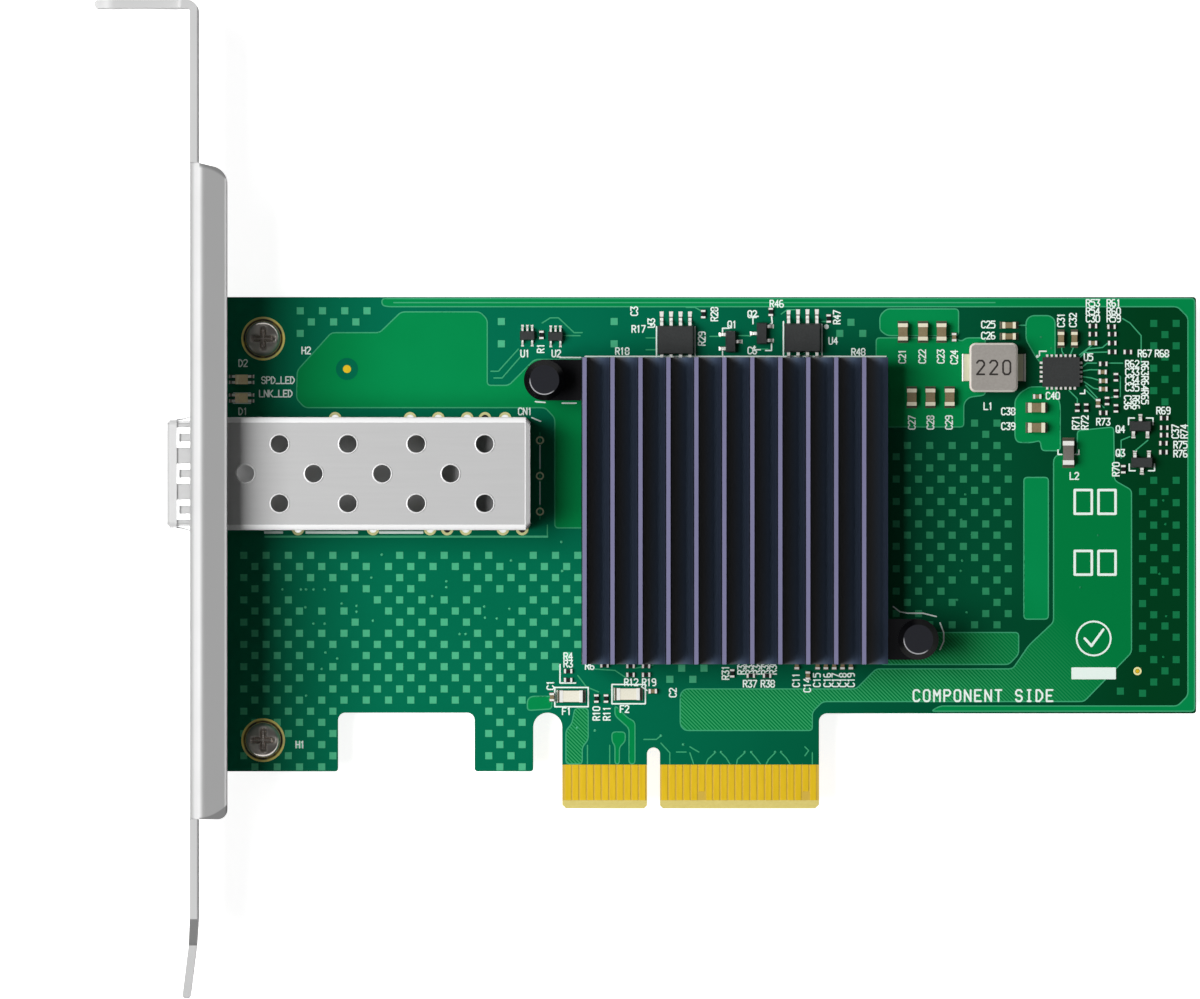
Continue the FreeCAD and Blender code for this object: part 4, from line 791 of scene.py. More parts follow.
# ---- studio
@dataclass
class Studio:
    """Camera straight above the card, soft light from its upper left and a white floor."""

    view_width: float = 161.7
    right_margin: float = 0.54
    top_margin: float = 0.13
    distance: float = 5600.0
    aspect: float = 999 / 1200
    floor_size: float = 1500.0
    ceiling: float = 0.08
    strips: float = 0.22
    strip_width: float = 0.2
    sky: float = 0.05
    key_place: tuple[float, float, float] = (-700, 60, 900)
    key_size: float = 800.0
    key_power: float = 15.8
    floor_gap: float = 0.05
    floor_glow: float = 0.88
    paper: Colour = (0.85, 0.85, 0.85, 1)

    def build(self) -> None:
        """Add the camera, the lamps, the world and the floor."""
        low, high = (np.array(corner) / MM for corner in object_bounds())
        self.add_camera(high)
        self.add_lamp((low + high) / 2)
        self.add_world()
        self.add_floor(low)

    def add_camera(self, high: np.ndarray) -> None:
        """Place the camera so that the card's right and top edges keep their margins."""
        lens = bpy.data.cameras.new("camera")
        lens.lens = lens.sensor_width * self.distance / self.view_width
        lens.clip_end = 30.0
        camera = bpy.data.objects.new("camera", lens)
        x = high[0] + self.right_margin - self.view_width / 2
        y = high[1] + self.top_margin - self.view_width * self.aspect / 2
        camera.location = Vector((x, y, self.distance)) * MM
        bpy.context.scene.collection.objects.link(camera)
        bpy.context.scene.camera = camera

    def add_lamp(self, aim: np.ndarray) -> None:
        """Add one square soft light that points at the card's middle."""
        light = bpy.data.lights.new("key", "AREA")
        light.size = self.key_size * MM
        light.energy = self.key_power
        lamp = bpy.data.objects.new("key", light)
        lamp.location = Vector(self.key_place) * MM
        way = Vector(aim.tolist()) - Vector(self.key_place)
        lamp.rotation_euler = way.to_track_quat("-Z", "Y").to_euler()
        bpy.context.scene.collection.objects.link(lamp)

    def add_world(self) -> None:
        """Dim sky, white to the camera, with a ceiling patch and an upright strip light on each side.

        The strips lie where the smaller of |x| and |y| is under a fifth of the direction's
        length in plan.
        """
        world = bpy.data.worlds.new("surroundings")
        bpy.context.scene.world = world
        sky = Tree(world)
        x, y, z = sky.parts(sky.node("ShaderNodeTexCoord", {}, {}, "Generated"))
        plan = (x * x + y * y) ** 0.5 + 0.001
        strips = (x.size().math("MINIMUM", y.size()) / plan).below(self.strip_width, 0.1) * z.below(0.9, 0.06)
        ceiling = z.above(0.935, 0.03)
        level = strips * self.strips + ceiling * self.ceiling + self.sky
        seen = sky.node("ShaderNodeLightPath", {}, {}, "Is Camera Ray")
        level = level * (seen * -1 + 1) + seen
        backdrop = sky.node("ShaderNodeBackground", {}, {"Color": WHITE, "Strength": level})
        output = sky.tree.nodes.new("ShaderNodeOutputWorld")
        sky.put(output.inputs[0], backdrop)

    def add_floor(self, low: np.ndarray) -> None:
        """A pale floor just under the card; it looks white to the camera and keeps shadows."""
        mesh = bpy.data.meshes.new("floor")
        corners = at_height(oblong(0, 0, self.floor_size, self.floor_size), low[2] - self.floor_gap)
        mesh.from_pydata((corners * MM).tolist(), [], [(0, 1, 2, 3)])
        floor = bpy.data.objects.new("floor", mesh)
        bpy.context.scene.collection.objects.link(floor)
        graph = Graph("floor_paper")
        seen, mirrored = (graph.node("ShaderNodeLightPath", {}, {}, f"Is {kind} Ray")
                          for kind in ("Camera", "Glossy"))
        emission = graph.mix((seen + mirrored).clamped() * self.floor_glow, BLACK, WHITE)
        mesh.materials.append(graph.finish(Base_Color=self.paper, Roughness=0.9,
                                           Emission_Color=emission, Emission_Strength=1.0))
        floor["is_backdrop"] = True


# ---- carried-over pieces
class Dressing:
    """Gives each CAD node its finish."""

    NODES = {
        "board_mask": "circuit_board",
        "gold_plate": "edge_contacts connector_contacts",
        "ring_plate": "mounting_rings",
        "zinc_sheet": "mounting_bracket",
        "screw_steel": "bracket_screws",
        "nickel_sheet": "cage_shell",
        "inner_nickel": "cage_base",
        "spring_sheet": "cage_collar",
        "grey_resin": "connector_housing",
        "black_anodised": "heatsink",
        "pin_nylon": "push_pins",
        "spring_wire": "pin_springs",
        "mould_compound": "controller_chip memory_chips logic_chips transistors regulator",
        "grey_pad": "thermal_pad",
        "brown_ceramic": "large_capacitors small_capacitors",
        "cream_tin": "large_capacitor_ends",
        "black_glaze": "resistors",
        "white_ceramic": "fuses",
        "grey_ferrite": "ferrite_beads",
        "pressed_powder": "inductor",
        "dull_tin": "inductor_ends",
        "lamp_resin": "lamps",
    }

    def apply(self, nodes: dict[str, bpy.types.Object], finishes: Finishes) -> None:
        """Put the finishes on; what isn't listed is a tinned lead or end."""
        chosen = {node: finish for finish, listed in self.NODES.items() for node in listed.split()}
        for name, piece in nodes.items():
            piece.data.materials.clear()
            piece.data.materials.append(finishes[chosen.get(name, "tin")])
            LOG.info("%s dressed", name)


# ---- copper under the mask
def rows(numbers: str, width: int = 2) -> list[np.ndarray]:
    """Tables of numbers, parted by semicolons and each this many columns wide."""
    return [np.array(row.replace(",", " ").split(), dtype=float).reshape(-1, width)
            for row in numbers.split(";")]


@dataclass
class CopperLayer:
    """Copper areas, traces, squares and vias that stand out under the solder mask."""

    top: float
    height: float = 0.03
    corner: float = 0.5
    trace_width: float = 0.16
    sheen_width: float = 0.16
    square: float = 0.95
    via_radius: float = 0.2
    gap_radius: float = 0.9
    sunk: float = 0.02
    hatched_drop: float = 0.004

    # Outlines, as X,Y of their corners, and the numbers of those that are hatched.
    AREAS = rows("""
        -48,59 -43.4,64.1 -36.9,64.1 -34,66.9 -23.4,66.9 -22.4,65.9 -22.4,57 -19.5,57 -16,60.5 -9,60.5
        -9,37.8 -13.3,37.8 -13.3,52.6 -14.6,54 -47,54 -48.1,55.2; 30.5,66.4 31.4,67.3 41.1,67.3 41.1,63.7
        31.5,63.7 30.5,64.4; 30,63.4 40.6,63.4 41.5,62.9 42.1,63.4 44.7,63.4 44.7,55.7 42.5,55.4 41.8,54.6
        41.8,51.4 30,51.4; 50.2,65.8 50.9,66.4 53.4,66.4 54.1,65.8 54.1,59.7 52.4,59.7 51.6,60.7 50.2,63.1;
        49.4,56 50.7,56.8 54.1,56.8 54.8,54.3 54.8,48.2 52.3,48.2 52.1,49.6 51.1,49.3 49.1,49.3 48.7,49.9
        48.7,55; 49.9,44.6 49.9,25.5 53.2,25.5 53.2,44.6; 3.6,15.4 4.2,16.1 27.3,16.1 30,18.8 48.4,18.8
        50.6,22 53.9,25.1 53.9,47.1 54.5,47.7 57.1,47.7 57.1,50.9 62,51.4 62.1,44.2 64.4,42.9 64.4,21
        58,14.4 22.8,14.4 21.4,13 21.4,10.5 4.2,10.5 3.6,11.2; 30.6,23.7 30.6,19.4 47.9,19.4 49.2,20.8
        49.2,23.7; -10.6,13.5 -11,11.4 -11.8,10.5 -11.8,6 -9.6,6 -9.6,8.3 -8.8,9.2 -8.8,13.5; -5.2,13.9
        -5.2,12.5 -3.3,10.8 -3.3,6 -2.5,6 -2.5,11.7 -3.5,12.2; -5.6,10.3 -5.6,9 -5.2,8.5 -5.2,6 -4.6,6
        -4.6,8.3 -3.8,9 -3.8,10.3; -17,14.6 -17,13.2 -13.7,13.4 -13.7,15.1 -16.5,15.1; -36.6,67.8 -35.8,67.6
        70.6,67.6 72,66.2 72,15.2 70.6,13.8 38.6,13.8 37.4,13.1 72.9,13.1 72.9,68.7 -36.6,68.7""")
    HATCHED = (6, 7, 8)
    # A wide line in front of the cage, and a raised one along the border at the top.
    BAND = rows("-52.4,36.48 -14.2,36.48 -14.2,36.76 -52.4,36.76")[0]
    LIP = rows("-35,68.15 46,68.15", 4)[0]
    TRACES = rows("""
        -21.9,58.9 -20.9,58.9 -18.2,61.9; -21.5,58 -20.4,58 -17.7,61.1; -15,65.4 -13.9,66.1 -12.8,66.1
        -10.7,64.1 -9.6,64.1; -12.1,63.7 -9.9,63.7; 57.7,59.4 58.4,60 59.7,60; 57.7,58.9 58.8,59.1 60,59.1;
        57.7,58.2 59,58 60,57.7; 58,57.5 59.3,56.6 60,56.5; 58.2,57 59.8,55.3; 57.4,60.7 58.5,61.9 60.5,62.1
        61.2,62.7; 57.4,61.1 58.8,62.2 59.3,62.7; 55.3,61 55,61.7 55,62.6; 56.1,61 56.6,62.2 57.3,62.9;
        56,56.3 57.1,55.2 57.1,54.6; 61.2,60 63.2,60; 62.2,58.7 62.9,58.2 62.9,55.5 61,55.3; 63.2,66
        64.2,65.4 65.7,63.7 65.7,60; 63,47.2 63,49.6 64.2,50.1; 64.9,48.2 66.6,49.6; 58.3,56.3 60.7,54;
        57.8,61.4 61.2,61.5; 49.1,65.1 50.2,65.1; -1.3,9.3 0.4,9.3 1,9.8; 1,8.8 2.2,7.5 2.2,6; 4.9,8.3
        6.1,7.6; 7.1,6 7.3,6.6 8.3,7.5; 9.1,7.5 9.8,6.8 10.3,6; 11.2,6 11.3,6.6 12.3,7.5; 13.2,7.5 13.8,6.8
        14.4,6; 15.2,6 15.5,6.6 16.4,7.5; 17.2,7.5 17.9,6.8 18.4,6; 3.1,7.6 4.4,7.6; 4.9,7.5 5.4,6; -8.9,8.5
        -8.9,6; -5.9,8.5 -5.9,6; 21.4,7.5 21.4,6; 20.4,8.3 20.9,7.8 20.4,7.1; -8.1,18.8 -5.2,18.6 -3.7,17.6;
        -8.6,16.2 -7.4,15.7; -10.2,17.9 -8.9,16.2; -2.5,18.9 -0.1,19.3; -1,63.4 0.3,63.4; -1,61.8 0.3,61.8;
        4.4,67.5 5.6,67.5 6.5,67; 7.6,63.6 9,63.6; 11.4,63.7 12.9,63.7; 17.2,66.6 18,67.2 19.1,67.2;
        22.7,65.6 23.8,65.6; 14.4,61.9 15.4,61.9; -52.4,36.6 -14.3,36.6 -14.3,38.2; -15.3,39 -15.3,50.6""")
    # First square's place, the pitch's X and Y steps, then the area: left, low, right, high.
    FIELDS = rows("""
        -49.2,34.1 3,1.5 -56.5,13.3 -9.6,34.6;
        -49.2,34.1 3,1.5 -56.5,5.4 -43,13.3;
        -49.2,34.1 3,1.5 -23.2,5.4 -17.5,13.3;
        -47.6,67.05 3,1.5 -48,65 -38,67.3;
        34.2,48.9 3.02,1.51 32.4,24.6 48.4,49.2;
        34.2,48.9 3.02,1.51 42.6,49.3 47.6,52.3;
        67.4,65.35 3.02,1.51 66.5,54 71,66;
        67.4,65.35 3.02,1.51 65.4,15.5 71,44.7""", 8)
    SINGLES = rows("""
        -47.6,64 -20.5,65.6 -20.5,62.6 -5.3,65.6 -5.3,62.6 26.6,65.5 25.1,64 28.2,64 3.8,18.9 6.8,18.9
        2.2,17.4 5.3,17.4 62.9,15.8""")[0]
    GAPS = rows("""
        -37.1,34 -19,34 -37.1,31 -28.1,31 -50.6,29.5 -47.6,29.5 -44.6,29.5 -29.6,29.5 -26.6,29.5 -46.1,28
        -43.1,28 -40.1,28 -22,28 -19,28 -38.6,26.5 -20.5,26.5 -46.1,25 -43.1,25 -37.1,25 -22,25 -26.6,23.6
        -44.6,20.5 -41.6,20.5 -46.1,16 -13.1,16 -10.1,16 -11.6,14.6 -14.6,14.6 -14.6,17.6 -11.6,17.6
        -10.1,19.1 -52.6,9.2 65.9,18.5 36,24.8 41.8,32.2 41.8,29.2 43.2,27.7 41.8,26.3 38.7,26.3 68.9,27.5
        68.9,21.5 68.9,15.6""")[0]
    VIAS = rows("""
        -36.6,34.2 -19.2,33.4 -12.4,35.9 -12.3,32 -38,31.1 -27.9,30.6 -27.9,29.8 -50,29.5 -47.5,29.5
        -46.8,29.5 -45.8,29.5 -44.3,29.5 -29.8,28.6 -42,27.6 -40,27.3 -46.9,27.1 -40,26.5 -22.8,27.2
        -19.4,26.9 -45.8,24.9 -44.3,24.9 -37.8,25.3 -22.7,25.7 -21.1,25.6 -26.1,23.5 -25.3,23.5 -44.2,21
        -42.6,20.2 -44.7,18.8 -46.8,15.2 42,42.3 41.5,38.9 42.9,36.9 41.6,33.4 41.4,32 40.9,28.1 42.2,26.4
        53.6,62 52.2,63.5 68.7,41.5 69,38.3 68.2,31.6 69.1,25.9 68.7,20.4 1,9.8 4,8.6 8.3,7.6 9.1,7.6
        12.3,7.6 13.2,7.6 16.4,7.6 17.2,7.6 -10.3,10.9 -7.9,10.5 -8.1,12 36.5,15.5 43.7,16.2 52,15.9
        57.5,29.8 59.9,36.8""")[0]

    def build(self, finishes: Finishes) -> None:
        """Make the areas with their outlines as a painted highlight, then squares, traces and vias."""
        low, high = self.top - self.sunk, self.top + self.height
        outlines = [rounded(corners, self.corner) for corners in self.AREAS]
        for kind, drop in (("copper", 0.0), ("hatched", self.hatched_drop)):
            plates = [prism(self.upright(line), low, high - drop) for index, line in enumerate(outlines)
                      if (index in self.HATCHED) == (kind == "hatched")]
            add_piece("pour_" + kind, plates, finishes[kind + "_mask"])
        rims = np.vstack([path(line, closed=True) for line in outlines] + [self.LIP])
        traces = np.vstack([path(line) for line in self.TRACES])
        half = self.square / 2
        squares = [prism(oblong(x, y, half, half), low, high + 0.002) for x, y in self.squares()]
        squares.append(prism(self.BAND, low, high + 0.006))
        # The pours' outlines are drawn as a painted highlight.
        for name, shapes, finish in (
                ("pour_edges", [strokes(rims, self.sheen_width, low, high + 0.004)], "trace_and_sheen_mask"),
                ("copper_squares", squares, "patch_mask"),
                ("copper_traces", [strokes(traces, self.trace_width, low, high)], "trace_and_sheen_mask")):
            add_piece(name, shapes, finishes[finish])
        vias = [self.dome(x, y) for x, y in self.VIAS]
        add_piece("tented_vias", vias, finishes["patch_mask"], smooth=True)

    @staticmethod
    def upright(line: np.ndarray) -> np.ndarray:
        """The outline turned anticlockwise, judged by the sign of its area."""
        following = np.roll(line, -1, axis=0)
        area = (line[:, 0] * following[:, 1] - following[:, 0] * line[:, 1]).sum()
        return line if area > 0 else line[::-1]

    def squares(self) -> np.ndarray:
        """Middles of all squares: a staggered lattice in each field, less the gaps.

        Even rows lie at x0 + i * step and odd rows half a step to the right.
        """
        index = np.arange(-60, 60)
        column, row = (grid.ravel() for grid in np.meshgrid(index, index))
        found = [self.SINGLES]
        for x0, y0, step_x, step_y, left, low, right, high in np.vstack(self.FIELDS):
            x = x0 + step_x * (column + 0.5 * (row % 2))
            y = y0 - step_y * row
            inside = (x > left) & (x < right) & (y > low) & (y < high)
            found.append(np.column_stack([x[inside], y[inside]]))
        places = np.vstack(found)
        away = np.linalg.norm(places[:, None] - self.GAPS[None], axis=2).min(axis=1)
        return places[away > self.gap_radius]

    def dome(self, x: float, y: float) -> Shape:
        """A low six-sided dome over one via."""
        steps = ((self.via_radius, self.top - 0.01), (self.via_radius * 0.8, self.top + 0.035))
        return loft(np.stack([at_height(disc(x, y, radius, 6), z) for radius, z in steps]))


# ---- print
@dataclass
class Silkscreen:
    """White print: part numbers, outlines and plain inspection marks."""

    top: float
    height: float = 0.045
    letter: float = 0.9
    width: float = 0.17
    slimness: float = 0.8
    pitch: float = 0.72

    # Each letter's lines on a grid of 4 by 6, as pairs of x and y; "/" lifts the pen.
    FONT = {
        "0": "10 30 41 45 36 16 05 01 10", "1": "15 26 20", "2": "05 16 36 45 44 00 40",
        "3": "06 46 23 33 42 41 30 10 01", "4": "30 36 02 42", "5": "46 06 04 34 43 41 30 00",
        "6": "36 16 05 01 10 30 41 42 33 03", "7": "06 46 10",
        "8": "13 04 05 16 36 45 44 33 13 02 01 10 30 41 42 33", "9": "10 30 41 45 36 16 05 04 13 43",
        "A": "00 26 40/12 32", "C": "45 36 16 05 01 10 30 41", "D": "00 06 26 44 42 20 00",
        "E": "46 06 00 40/03 33", "F": "00 06 46/03 33", "H": "00 06/40 46/03 43", "I": "20 26/10 30/16 36",
        "J": "46 41 30 10 01", "K": "00 06/46 02/13 40", "L": "06 00 40", "M": "00 06 23 46 40",
        "N": "00 06 40 46", "O": "10 30 41 45 36 16 05 01 10", "P": "00 06 36 45 44 33 03",
        "Q": "10 30 41 45 36 16 05 01 10/22 40", "R": "00 06 36 45 44 33 03/23 40",
        "S": "01 10 30 41 42 33 13 04 05 16 36 45", "T": "06 46/20 26", "U": "06 01 10 30 41 46",
        "_": "00 40",
    }
    # Text, middle and turn in degrees, which is left out where it is 0.
    LABELS = """
        R53 59.2,68.1; R54 59.2,67; C30 59.2,66; R61 62,68.1; R60 62,67; R59 62,66; C31 54.9,65.8 90; C32
        56.5,65.8 90; U5 58.6,60.8; R62 64.5,59.9; C33 64.5,58.8; C34 64.5,57.7; C35 64.5,56.7; R63
        66.2,59.3 -90; R64 66.2,57.3 -90; R65 66.2,55.4 -90; C36 63.9,54.7 -90; R66 65,54.7 -90; R67
        66.2,61.3; R68 68.5,61.3; R69 68.7,53.6; Q4 62.9,51.1; Q3 62.9,47.9; R70 62.3,45.7 90; R71 56.9,52
        90; R72 58.1,52 90; R73 60.6,52.1; L2 56.7,44.8; C37 70.3,50.8 90; R74 71.5,50.8 90; R75 71,49; R76
        71,47.8; C21 33.5,60.9 90; C22 36.2,60.9 90; C23 38.7,60.9 90; C24 40.5,60.8 90; C25 45.1,65.2; C26
        45.1,63.7; C27 34.8,52 90; C28 37.3,52 90; C29 39.8,52 90; L1 45.1,54.2; C38 47.8,53.5; C39
        47.8,51.5; C40 53.8,55.6; U1 -17.3,61.3; R1 -15.2,62 90; U2 -13.1,61.3; R17 -2,64.6; R18 -4.2,61.6;
        C3 -2.6,67 90; U3 -0.3,65.4 90; R28 8.2,66.6 90; Q1 10.6,65.2; Q2 13.3,66.6; R29 6.5,63.3 90; R46
        16.6,68; U4 24.2,63; R47 24.7,66.2 90; C6 13.3,61.7; R48 27.6,61.5; R4 -11.5,20.5; R3 -11.5,19.5; R6
        -8.6,19.2; C1 -13.9,16.6 90; F1 -11.7,13.1; F2 -3.9,13.4; C2 2.6,15.6 90; R10 -7.7,12.8 90; R11
        -6.3,12.8 90; R12 -3,17; R19 -0.6,17; R31 9.7,18.3 90; R32 11.8,19 90; R33 12.9,19 90; R34 13.9,19
        90; R35 15,19 90; R36 16.1,19 90; R37 13,16.8; R38 15.4,16.8; C11 19.2,17.3 90; C14 20.7,16.6 90;
        C15 22,17.3 90; C16 23.4,17.3 90; C17 24.5,17.3 90; C18 25.5,17.3 90; C19 26.6,17.3 90; H2
        -46.8,61.7; H1 -47.6,8.6; D2 -55.3,60; D1 -55.3,53.5; SPD_LED -50.6,57.7; LNK_LED -50.9,55.9; CN1
        -17.3,53.5"""
    LINES = rows("""
        -13.3,16.3 -8.8,16.3 -8.8,13.7 -13.3,13.7 -13.3,16.3; -5.6,16.7 -1.1,16.7 -1.1,14.1 -5.6,14.1
        -5.6,16.7; 0.4,64.9 0.4,60.4; 5.6,64.9 5.6,60.4; 17.5,65.6 17.5,60.8; 22.7,65.2 22.7,60.8; 54.5,48.3
        54.5,47.7 55,47.7; 57.3,48.3 57.3,47.7 56.8,47.7; 64,51.7 64,52.6 64.8,52.6; 66.4,52.6 67.3,52.6
        67.3,51.7; 64.1,46.4 64.1,45.5 64.9,45.5; 66.7,45.5 67.5,45.5 67.5,46.4; -52.4,37.25 -50,37.25;
        -46.8,37.25 -39.9,37.25; -36.9,37.25 -31.1,37.25; -52.4,37.1 -50,37.1; -46.8,37.1 -39.9,37.1;
        -36.9,37.1 -31.1,37.1; -16.4,52.65 -15.2,52.15; -9.2,60.9 31.3,60.9; -12.6,60.75 -9.8,60.75;
        -15.3,48.9 -15.3,45.8; -15.3,44 -15.3,41; -15.9,54.8 -14.6,54.7; -12.3,54.6 -10.4,54.6; -56.6,55.95
        -54.3,55.95; -56.6,54.6 -54.3,54.6; 32.3,27.2 33.2,26.5 34.2,26.3 36.3,26.3 38.1,25.85; 38.6,25
        39.1,23.7 39.1,22.5 38.6,21.4; -12.6,19.4 -12.6,16.9 -10.5,16.9; -1.6,16.4 -0.9,15.9; 9.3,61.6
        9.3,60.9; 9.3,64 9.3,64.7 10.2,64.7; 13.4,65.3 13.4,66.3 14.1,66.3; 15.9,66.3 16,65.4 15.4,65;
        13.6,62.3 13.6,61.8 14.4,61.8; 15.9,62.6 15.9,61.7 15.1,61.7; 58.1,56.4 58.1,55.9 57.5,55.9; 52,61
        52,61.6 52.9,61.6""")
    # Middle and radius.
    DOTS = rows("23.3 64.9 0.33 51.7 60.9 0.2 -0.3 65.2 0.2", 3)[0]

    def build(self, finishes: Finishes) -> None:
        """Make the print as thin raised ink."""
        ink, low, high = finishes["white_ink"], self.top - 0.01, self.top + self.height
        letters = np.vstack([self.write(*label) for label in self.labels()])
        add_piece("printed_labels", [strokes(letters, self.width, low, high)], ink)
        marks = np.vstack([path(line) for line in self.LINES])
        title = self.write("COMPONENT SIDE", 44.4, 15.2, 0, 1.5, 1.38)
        shapes = [strokes(marks, 0.19, low, high + 0.003), strokes(title, 0.25, low, high)]
        shapes += [prism(disc(x, y, radius), low, high) for x, y, radius in self.DOTS]
        add_piece("printed_outlines", shapes + self.inspection_marks(low, high), ink)

    def labels(self) -> Iterable[tuple]:
        """Each label's text, X, Y and turn."""
        for label in self.LABELS.replace(",", " ").split(";"):
            text, *numbers = label.split()
            yield text, *map(float, (numbers + ["0"])[:3])

    def write(self, text: str, x: float, y: float, turn: float, size: float | None = None,
              advance: float | None = None) -> np.ndarray:
        """Lines of a word centred on a place.

        Args:
            text: letters that the font holds, and spaces.
            x, y: its middle.
            turn: degrees anticlockwise.
            size: height of the letters.
            advance: distance from one letter to the next.
        """
        size = size or self.letter
        advance = advance or size * self.pitch
        scale = size / 6
        cosine, sine = math.cos(math.radians(turn)), math.sin(math.radians(turn))
        found = []
        for index, letter in enumerate(text):
            start = (index - len(text) / 2) * advance + (advance - 4 * scale * self.slimness) / 2
            for line in filter(None, self.FONT.get(letter, "").split("/")):
                pen = [(start + int(a) * scale * self.slimness, int(b) * scale - size / 2)
                       for a, b in line.split()]
                found.append(path([(x + a * cosine - b * sine, y + a * sine + b * cosine) for a, b in pen]))
        return np.vstack(found)

    @staticmethod
    def inspection_marks(low: float, high: float) -> list[Shape]:
        """Four tick boxes, a circle with a tick and a blank writing panel."""
        lines = [(path(oblong(x, y, 1.15, 1.6), True), 0.34) for y in (41.3, 33.1) for x in (57.9, 61.1)]
        lines.append((path(disc(59.3, 22.9, 2.3, 24), True), 0.24))
        lines.append((path([(58.1, 22.9), (59, 21.9), (60.6, 24.1)]), 0.34))
        panel = rounded([(56.3, 17.4), (62.3, 17.4), (62.3, 19), (56.3, 19)], 0.1)
        return [prism(panel, low, high)] + [strokes(line, width, low, high) for line, width in lines]


# ---- solder
@dataclass
class Joints:
    """Solder pads and fillets at every end, lead and terminal."""

    spread: float = 0.06
    clear: float = 0.006
    sunk: float = 0.045
    levels: tuple[float, ...] = (0.0, 0.12, 0.45, 1.0)

    # Ends, the bodies they belong to, how far the pad runs out, the share of the end
    # that is soldered and the fillet's height.
    RUNS = [
        ("large_capacitor_ends", "large_capacitors", 0.35, 1.0, 0.55),
        ("small_capacitor_ends", "small_capacitors", 0.1, 1.0, 0.2),
        ("resistor_ends", "resistors", 0.06, 1.0, 0.16),
        ("fuse_ends", "fuses", 0.4, 1.0, 0.45),
        ("ferrite_bead_ends", "ferrite_beads", 0.45, 1.0, 0.6),
        ("memory_chip_leads", "memory_chips", 0.85, 0.5, 0.12),
        ("logic_chip_leads", "logic_chips", 0.35, 0.6, 0.12),
        ("transistor_leads", "transistors", 0.35, 0.8, 0.16),
        ("regulator_pads", "regulator", 0.06, 1.0, 0.1),
        ("lamp_ends", "lamps", 0.4, 1.0, 0.24),
        ("inductor_ends", "inductor", 0.35, 0.4, 0.15),
    ]

    def build(self, finishes: Finishes) -> None:
        """One piece of solder for each kind of part."""
        for ends, bodies, reach, share, rise in self.RUNS:
            shapes = [self.fillet(end, body, reach, share, rise)
                      for end, body in self.pairs(solids_of(ends), solids_of(bodies))]
            add_piece("solder_" + ends, shapes, finishes["solder"])

    @staticmethod
    def pairs(ends: np.ndarray, bodies: np.ndarray) -> list[tuple[np.ndarray, np.ndarray]]:
        """Each end's box with the body's box that it touches: the one with the smallest gap."""
        gap = np.maximum(ends[:, None, 0] - bodies[None, :, 1], bodies[None, :, 0] - ends[:, None, 1])
        nearest = np.linalg.norm(np.maximum(gap, 0), axis=2).argmin(axis=1)
        return [(end, bodies[index]) for end, index in zip(ends, nearest)]

    def fillet(self, end: np.ndarray, body: np.ndarray, reach: float, share: float, rise: float) -> Shape:
        """A hollow-sided fillet round the outer part of one end.

        At height h of 0 to 1 the ring stands reach * (1 - h) ** 3 outside the end.

        Args:
            end, body: their boxes.
            reach: how far the pad runs past the end.
            share: how much of the end, from its tip, is soldered.
            rise: height of the fillet.
        """
        axis = int(np.maximum(end[0] - body[1], body[0] - end[1])[:2].argmax())
        tip = int(end[:, axis].mean() > body[:, axis].mean())
        plan = end[:, :2].copy()
        plan[1 - tip, axis] = plan[tip, axis] + (plan[1 - tip, axis] - plan[tip, axis]) * share
        rings = []
        for level in self.levels:
            grow = (1 - level) ** 3
            grown = plan + np.array([[-1], [1]]) * (self.spread * grow + self.clear)
            grown[tip, axis] += (reach - self.spread) * grow * (2 * tip - 1)
            ring_at = np.array([(grown[a, 0], grown[b, 1]) for a, b in ((0, 0), (1, 0), (1, 1), (0, 1))])
            rings.append(at_height(ring_at, end[0, 2] - self.sunk + (rise + self.sunk) * level))
        return loft(np.stack(rings))


# ---- cage
def clusters(points: np.ndarray, reach: float = 1.0) -> np.ndarray:
    """Middles of groups of points that lie within reach of a neighbour.

    Every point takes the lowest number within reach until nothing changes.

    Args:
        points: (point, x and y).
        reach: largest distance between neighbours.
    """
    points = np.unique(points.round(3), axis=0)
    near = np.linalg.norm(points[:, None] - points[None], axis=2) < reach
    label = np.arange(len(points))
    while True:
        fresh = np.where(near, label[None, :], len(points)).min(axis=1)
        if np.array_equal(fresh, label):
            break
        label = fresh
    middles = []
    for group in np.unique(label):
        members = points[label == group]
        middles.append((members.min(axis=0) + members.max(axis=0)) / 2)
    return np.array(middles)


def ring(x: float, y: float, profile: Sequence[Pair], sides: int = 18) -> Shape:
    """A closed ring: a profile of (radius, height) points turned about a vertical axis.

    Corner j of step i lies at (x + r_j cos a_i, y + r_j sin a_i, z_j) with a_i = 2 pi i / sides.
    """
    section = np.array(profile)
    angle = (np.arange(sides) * 2 * math.pi / sides)[:, None]
    places = np.stack([x + section[:, 0] * np.cos(angle), y + section[:, 0] * np.sin(angle),
                       section[:, 1] + 0 * angle], axis=2)
    count = len(section)
    step, corner = (grid.ravel() for grid in np.meshgrid(np.arange(sides), np.arange(count), indexing="ij"))
    ahead, after = (step + 1) % sides, (corner + 1) % count
    faces = np.column_stack([step * count + corner, ahead * count + corner, ahead * count + after,
                             step * count + after])
    return places.reshape(-1, 3), faces.tolist()


def washer(inner: float, outer: float, low: float, high: float) -> list[Pair]:
    """The profile of a flat ring between two radii and two heights."""
    return [(inner, low), (outer, low), (outer, high), (inner, high)]


